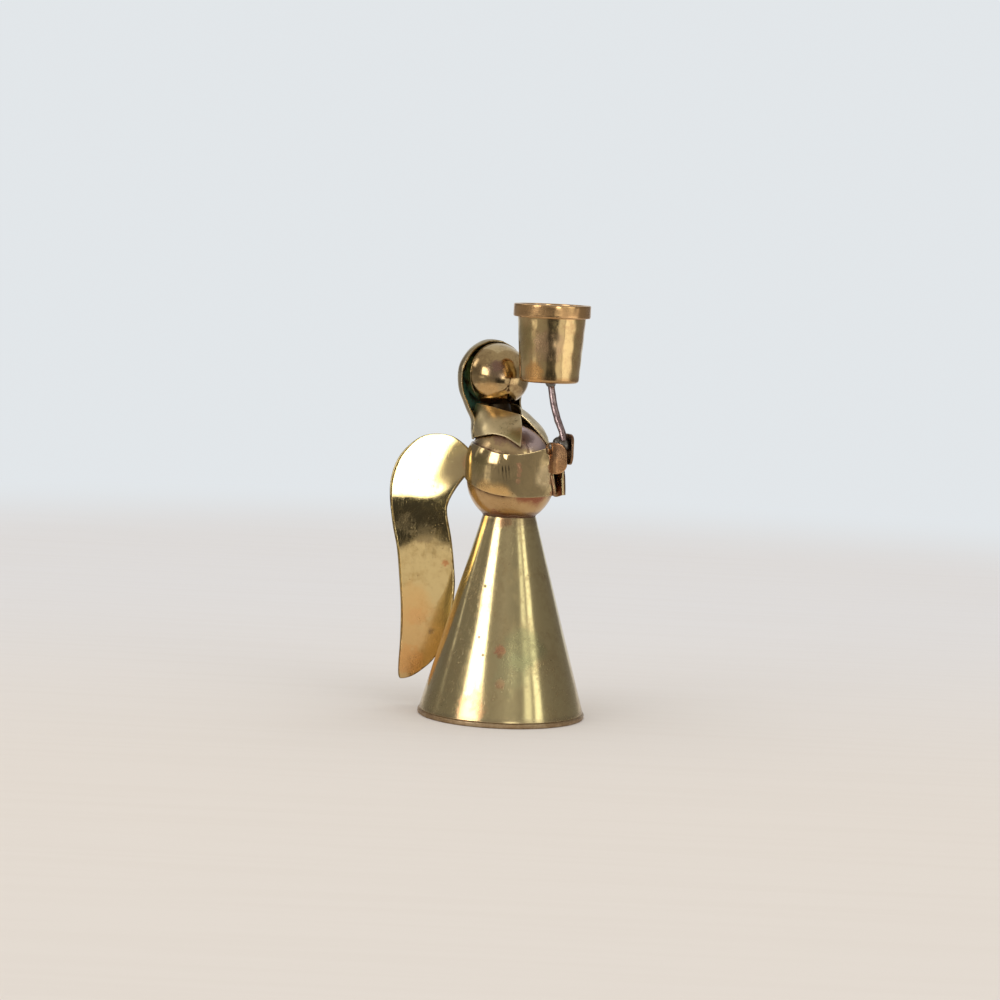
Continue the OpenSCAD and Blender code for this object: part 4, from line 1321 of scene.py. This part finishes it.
def wing_edges(z):
    """The inner and the outer edge's distance from the root at each height, and the lowest and highest
    point of the outline. The curve is read all round and cut at those two points."""
    ring = np.array(WING_OUTLINE + WING_OUTLINE[:3], float)
    last = len(ring) - 1
    t = np.linspace(1 / last, (last - 2) / last, OUTLINE_POINTS)
    curve = catmull(ring, t)
    top = curve[:, 1].argmax()
    curve = np.roll(curve, -top, 0)
    tip = curve[:, 1].argmin()
    outer = curve[:tip + 1][::-1]
    inner = np.vstack([curve[tip:], curve[:1]])
    ends = curve[tip, 1], curve[0, 1]
    return np.interp(z, inner[:, 1], inner[:, 0]), np.interp(z, outer[:, 1], outer[:, 0]), ends


def wing_grid(seed):
    """The left wing's front face. Below its waist it leans back in a circle's arc. Above, the slope grows
    to its full value within the crease, as one less an exponential, and then a little more with the
    height. Near the root the sheet curls forward with the square of the distance. The sweep then turns it
    about its root."""
    ends = wing_edges(np.zeros(1))[2]
    share = (1 - np.cos(np.linspace(0, math.pi, 190))) / 2
    z = (ends[0] + 0.02) + (ends[1] - ends[0] - 0.04) * share
    inner, outer = wing_edges(z)[:2]
    along = inner[:, None] + (outer - inner)[:, None] * edge_steps(56, inset=0.006)
    height = z[:, None] + 0 * along
    rise = np.maximum(height - WING_WAIST_Z, 0)
    drop = np.maximum(WING_WAIST_Z - height, 0)
    bow = WING_BEND_LOW - np.sqrt(WING_BEND_LOW ** 2 - drop ** 2)
    crease = WING_SLOPE * (rise - WING_CREASE * (1 - np.exp(-rise / WING_CREASE))) + WING_CURL * rise ** 2
    curled = np.clip(ROOT_CURL_REACH - 0.5 * (height - ROOT_CURL_Z) - along, 0, None)
    curl = ROOT_CURL * curled ** 2 * (1 - np.exp(-(rise / ROOT_CURL_FADE) ** 2))
    grid = np.stack([along, bow + crease - curl + WING_BACK, height], -1)
    grid[..., 1] += 0.07 * ripple(grid, 26, seed) + 0.024 * ripple(grid, 8, seed + 1)
    turned_x = grid[..., 0] * math.cos(WING_SWEEP) - grid[..., 1] * math.sin(WING_SWEEP) + WING_ROOT[0]
    turned_y = grid[..., 0] * math.sin(WING_SWEEP) + grid[..., 1] * math.cos(WING_SWEEP) + WING_ROOT[1]
    return np.stack([turned_x, turned_y, grid[..., 2]], -1)[:, ::-1]


show(sheet_mesh("left_wing_sheet", wing_grid(101)), wing_brass, "left_wing")
show(sheet_mesh("right_wing_sheet", mirrored(wing_grid(105))), wing_brass, "right_wing")

# %% [markdown]
# Flux and dirt collect where two pieces meet, and no cloth reaches them there, and shade falls there as
# well. The torso's two domes get a value that is 1 along the edges of the sleeves and the collar, and fades
# within a millimetre or two. The metal turns it into a dark colour that is partly residue and partly painted
# shade.

# %% Dirt and painted shade along the joints
def mark_joint(piece, lines, skin=0.8, reach=0.7):
    """Stores the value joint: the exponential of minus the distance to the lines, less the skin, over the
    reach. The skin is the sheet that lies between the line and the surface below."""
    mesh = piece.data
    points = np.empty(len(mesh.vertices) * 3)
    mesh.vertices.foreach_get("co", points)
    tree = KDTree(len(lines))
    for k, line_point in enumerate(lines):
        tree.insert(line_point, k)
    tree.balance()
    gap = np.array([tree.find(point)[2] for point in points.reshape(-1, 3) / MM])
    value = np.exp(-np.maximum(gap - skin, 0) / reach).astype(np.float32)
    mesh.attributes.new("joint", "FLOAT", "POINT").data.foreach_set("value", value)
    print(piece.name, "has residue on %.0f%% of its points" % (100 * (value > 0.5).mean()))


sleeve_edges = np.concatenate([right_sleeve_grid[0], right_sleeve_grid[-1], left_sleeve_grid[0],
                               left_sleeve_grid[-1]])
mark_joint(high_dome, np.concatenate([sleeve_edges, collar_grid()[-1]]))
mark_joint(low_dome, sleeve_edges)

# %% [markdown]
# Four small pieces stay as the frame has them, because they hardly show: the neck tube, the seam bead inside
# the skirt, and the spots of solder behind the veil and the collar. They only get their metal. The neck is
# painted black as shade.

# %% Metal for the pieces that stay
# A near-black metal that paints the shade on the neck.
neck_shade_brass = brass("neck_shade_brass", (0.05, 0.035, 0.02), (0.03, 0.02, 0.012), (0.01, 0.008, 0.006), 0.5, 120,
                    0.5, (0.4, 0.6))
for node, metal in {"neck_tube": neck_shade_brass, "skirt_seam_solder": solder, "veil_solder": solder,
                    "collar_solder": solder}.items():
    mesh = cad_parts[node].data
    mesh.materials.clear()
    mesh.materials.append(metal)
    print(node, "gets", metal.name)

# %% [markdown]
# The stage is a pale table that fades into a pale wall of air. Its far part gives off its own colour, the
# same as the world's, so no horizon shows from any side. The near part is plain wood that takes the angel's
# shadow.

# %% Table
BACKDROP = (0.762, 0.795, 0.82)
TABLE_NEAR = (0.765, 0.70, 0.63)
TABLE_FAR = (0.745, 0.722, 0.706)
TABLE_DEPTHS = (-0.2, 0.35)
WOOD_LINE = (0.5, 0.4, 0.3)
GLOW_BORDER = (0.5, 0.84)
TABLE_REACH = 6000
TABLE_Z = -0.02


def cleared_material(name):
    """A material whose tree is empty, and that tree."""
    made, tree = new_material(name)
    tree.nodes.clear()
    return made, tree


def disc_mesh(name, rings=48, around=128):
    """A flat disc: rings whose radius grows with the square of their share."""
    r = TABLE_REACH * np.linspace(0, 1, rings)[:, None] ** 2
    return closed_mesh(name, upright(r, full_turn(around)[None], TABLE_Z),
                       grid_quads(rings, around, wrap_cols=True))


def table_material():
    """Pale wood with a faint grain near the angel, and the backdrop's own colour far from it."""
    made, tree = cleared_material("pale_table")
    where = object_places(tree)
    along_view = add(tree, "Mapping", {"Vector": where, "Rotation": (0, 0, -CAMERA_AZIMUTH)}).outputs[0]
    depth = add(tree, "SeparateXYZ", {0: along_view}).outputs[1]
    grain = noise(tree, scaled(tree, along_view, (6.0, 160.0, 1.0)), 1.0, 5.0)
    wood = blend_colour(tree, ramp(tree, depth, *TABLE_DEPTHS), colour(*TABLE_NEAR), colour(*TABLE_FAR))
    wood = blend_colour(tree, ramp(tree, grain, 0.4, 0.65, 0.0, 0.03), wood, colour(*WOOD_LINE))
    away = add(tree, "VectorMath", {0: where}, operation="LENGTH").outputs["Value"]
    near = add(tree, "BsdfDiffuse", {"Color": wood})
    far = add(tree, "Emission", {"Color": colour(*BACKDROP), "Strength": 1.0})
    mix = add(tree, "MixShader", {0: ramp(tree, away, *GLOW_BORDER), 1: near.outputs[0], 2: far.outputs[0]})
    add(tree, "OutputMaterial", {0: mix.outputs[0]})
    return made


table = put("table_top", disc_mesh("table_top"))
table.data.materials.append(table_material())
print("the table is", 2 * TABLE_REACH * MM, "m across")

# %% [markdown]
# Polished metal mirrors whatever stands round it, so there is also a dim room round the angel, open at its
# back: a floor, a wall and a ceiling. Only gloss sees it, so it changes neither the light nor the shadows.
# Its floor and wall get lighter and darker with the azimuth, as a real room does.

# %% Dim room
ROOM_REACH = 2600
ROOM_TOP = 2400
ROOM_EDGE = 255
ROOM_HALF = math.radians(150)
FLOOR_TONES = [(-132, 0.38), (-92, 0.38), (-84, 0.40), (-54, 0.32), (-46, 0.05), (-17, 0.05), (-12, 1.0),
               (4, 1.0), (7, 0.5), (10, 1.7), (42, 1.5), (52, 0.30)]
WALL_TONES = [(-150, 0.22), (-100, 0.26), (-60, 0.38), (-38, 0.48), (-20, 0.32), (10, 0.34), (50, 0.26),
              (100, 0.22)]
CEILING = (0.52, 0.50, 0.47)
WALL_FOOT = (0.02, 0.1)
CEILING_FOOT = (1.4, 2.0)


def gloss_only(mesh, material):
    """A part of the room. Only gloss sees it, and it neither lights the table nor shades it."""
    made = put(mesh.name, mesh)
    mesh.materials.append(material)
    made.visible_camera = False
    made.visible_diffuse = False
    made.visible_shadow = False


def by_azimuth(reach, turn, z):
    """Points at a reach, an azimuth and a height. The angel faces the azimuth 0."""
    return np.stack(np.broadcast_arrays(reach * np.sin(turn), -reach * np.cos(turn), z), -1)


def room_mesh(around=109):
    """A floor round the table, a wall and a ceiling: one profile carried round, open at the back."""
    profile = np.concatenate([np.stack([np.geomspace(ROOM_EDGE, ROOM_REACH, 12), np.full(12, 1.0)], -1),
                              np.stack([np.full(8, ROOM_REACH), np.linspace(60, ROOM_TOP, 8)], -1),
                              np.stack([np.linspace(ROOM_REACH, 1, 6), np.full(6, ROOM_TOP)], -1)])
    turn = CAMERA_AZIMUTH + np.linspace(-ROOM_HALF, ROOM_HALF, around)[None]
    points = by_azimuth(profile[:, :1], turn, profile[:, 1:])
    return closed_mesh("room", points, grid_quads(len(profile), around))


def tone_ramp(tree, share, stops):
    """Greys by azimuth. Each stop is a pair of degrees and tone."""
    made = add(tree, "ValToRGB", {0: share})
    elements = made.color_ramp.elements
    elements.remove(elements[1])
    for k, (degrees, tone) in enumerate(stops):
        position = 0.5 + degrees / 360
        element = elements.new(position) if k else elements[0]
        element.position = position
        element.color = colour(tone, tone * 0.97, tone * 0.92)
    return made.outputs[0]


def room_material():
    """The floor's and the wall's tone depend on the azimuth, and the ceiling has one tone."""
    made, tree = cleared_material("dim_room")
    x, y, z = add(tree, "SeparateXYZ", {0: object_places(tree)}).outputs[:3]
    azimuth = calc(tree, "ARCTAN2", x, calc(tree, "MULTIPLY", y, -1.0))
    share = calc(tree, "MULTIPLY_ADD", azimuth, 0.5 / math.pi, 0.5)
    floor = tone_ramp(tree, share, FLOOR_TONES)
    wall = tone_ramp(tree, share, WALL_TONES)
    tone = blend_colour(tree, ramp(tree, z, *WALL_FOOT), floor, wall)
    tone = blend_colour(tree, ramp(tree, z, *CEILING_FOOT), tone, colour(*CEILING))
    add(tree, "OutputMaterial", {0: add(tree, "Emission", {"Color": tone, "Strength": 1.0}).outputs[0]})
    return made


gloss_only(room_mesh(), room_material())
print("the room is", ROOM_TOP * MM, "m high")

# %% [markdown]
# The long highlights on the skirt and the white lobes of the wings are windows. Each pane of light stands
# where the polished brass would show a window at that place, and its soft border is that of a curtained one.

# %% Panes of light
MIDDLE_Z = 80
GARDEN_LIGHT = (0.96, 1.0, 0.9)
PANE_POINTS = 49


def pane(name, azimuths, elevations, radiance, tint=(1.0, 0.99, 0.95), soft=1.5, reach=ROOM_REACH - 100):
    """A bright opening in the room: part of an upright cylinder between two azimuths and two elevations,
    both in degrees and seen from the middle of the angel. It fades out over the last soft degrees."""
    across = np.linspace(azimuths[0], azimuths[1], PANE_POINTS)[None]
    up = np.linspace(elevations[0], elevations[1], PANE_POINTS)[:, None]
    z = MIDDLE_Z + reach * np.tan(np.radians(up))
    points = by_azimuth(reach, np.radians(across), z)
    inward = np.minimum(np.minimum(across - azimuths[0], azimuths[1] - across),
                        np.minimum(up - elevations[0], elevations[1] - up))
    mesh = closed_mesh(name, points, grid_quads(PANE_POINTS, PANE_POINTS),
                       {"shine": smooth(inward / soft).ravel()})
    made, tree = cleared_material(name)
    glow = add(tree, "Emission", {"Color": colour(*tint), "Strength": radiance}).outputs[0]
    gone = add(tree, "BsdfTransparent").outputs[0]
    mixed = add(tree, "MixShader", {0: stored(tree, "shine"), 1: gone, 2: glow})
    add(tree, "OutputMaterial", {0: mixed.outputs[0]})
    gloss_only(mesh, made)
    print("%-24s shines at %.1f" % (name, radiance))


pane("left_window", (-98, -72), (4, 31), 6.0)
pane("right_window_first_pane", (-3, 8), (3, 38), 1.6, GARDEN_LIGHT)
pane("right_window_second_pane", (12, 25), (3, 52), 2.2, GARDEN_LIGHT)
pane("low_window", (-31, -11), (-3, 17), 6.0, (0.98, 1.0, 0.93), soft=5.0)
pane("side_window", (-138, -124), (18, 42), 3.0, soft=3.0)
pane("white_card", (-108, -89), (-6, -1), 1.5, soft=2.0, reach=700)
pane("door_gap", (-146, -141), (8, 40), 1.3)

# %% [markdown]
# The light itself is soft and plain: the air all round, a wide panel overhead and a weaker one on each side
# of the camera. Together they bring a white card to about white. Camera rays and glossy rays that end in the
# air see the backdrop's colour.

# %% Lights
def panel(name, azimuth, reach, z, width, height, radiance):
    """An area light that faces the angel and that gloss doesn't see, because the room has its own bright
    openings. Its power is four times its area times the radiance."""
    light = bpy.data.lights.new(name, "AREA")
    light.shape = "RECTANGLE"
    light.size = width * MM
    light.size_y = height * MM
    light.energy = 4 * light.size * light.size_y * radiance
    turn = math.radians(azimuth)
    stand = np.array([reach * math.sin(turn), -reach * math.cos(turn), z])
    back = unit(stand - np.array([0, 0, MIDDLE_Z]))
    across = unit(np.cross([0, 0, 1], back))
    pose = np.eye(4)
    pose[:3, :3] = np.stack([across, np.cross(back, across), back], 1)
    pose[:3, 3] = stand * MM
    made = put(name, light)
    made.matrix_world = Matrix(pose.tolist())
    made.visible_glossy = False
    print("%-16s %.1f W" % (name, light.energy))


def seen_ray(tree):
    """1 for camera, glossy and transmission rays, and 0 for the rest."""
    path = add(tree, "LightPath").outputs
    total = calc(tree, "ADD", path["Is Camera Ray"], path["Is Glossy Ray"])
    return calc(tree, "MINIMUM", calc(tree, "ADD", total, path["Is Transmission Ray"]), 1.0)


panel("left_light", -84, 2300, 900, 1200, 900, 0.9)
panel("right_light", 10, 2300, 1000, 1200, 900, 0.7)
panel("overhead_light", -38, 60, 2000, 2200, 2200, 0.42)

world = bpy.data.worlds.new("pale_air")
bpy.context.scene.world = world
world.use_nodes = True
world_tree = world.node_tree
world_tree.nodes.clear()
air = blend_colour(world_tree, seen_ray(world_tree), colour(0.82, 0.82, 0.82), colour(*BACKDROP))
air = add(world_tree, "Background", {"Color": air, "Strength": 1.0})
add(world_tree, "OutputWorld", {0: air.outputs[0]})

bpy.context.scene.view_settings.view_transform = "Standard"
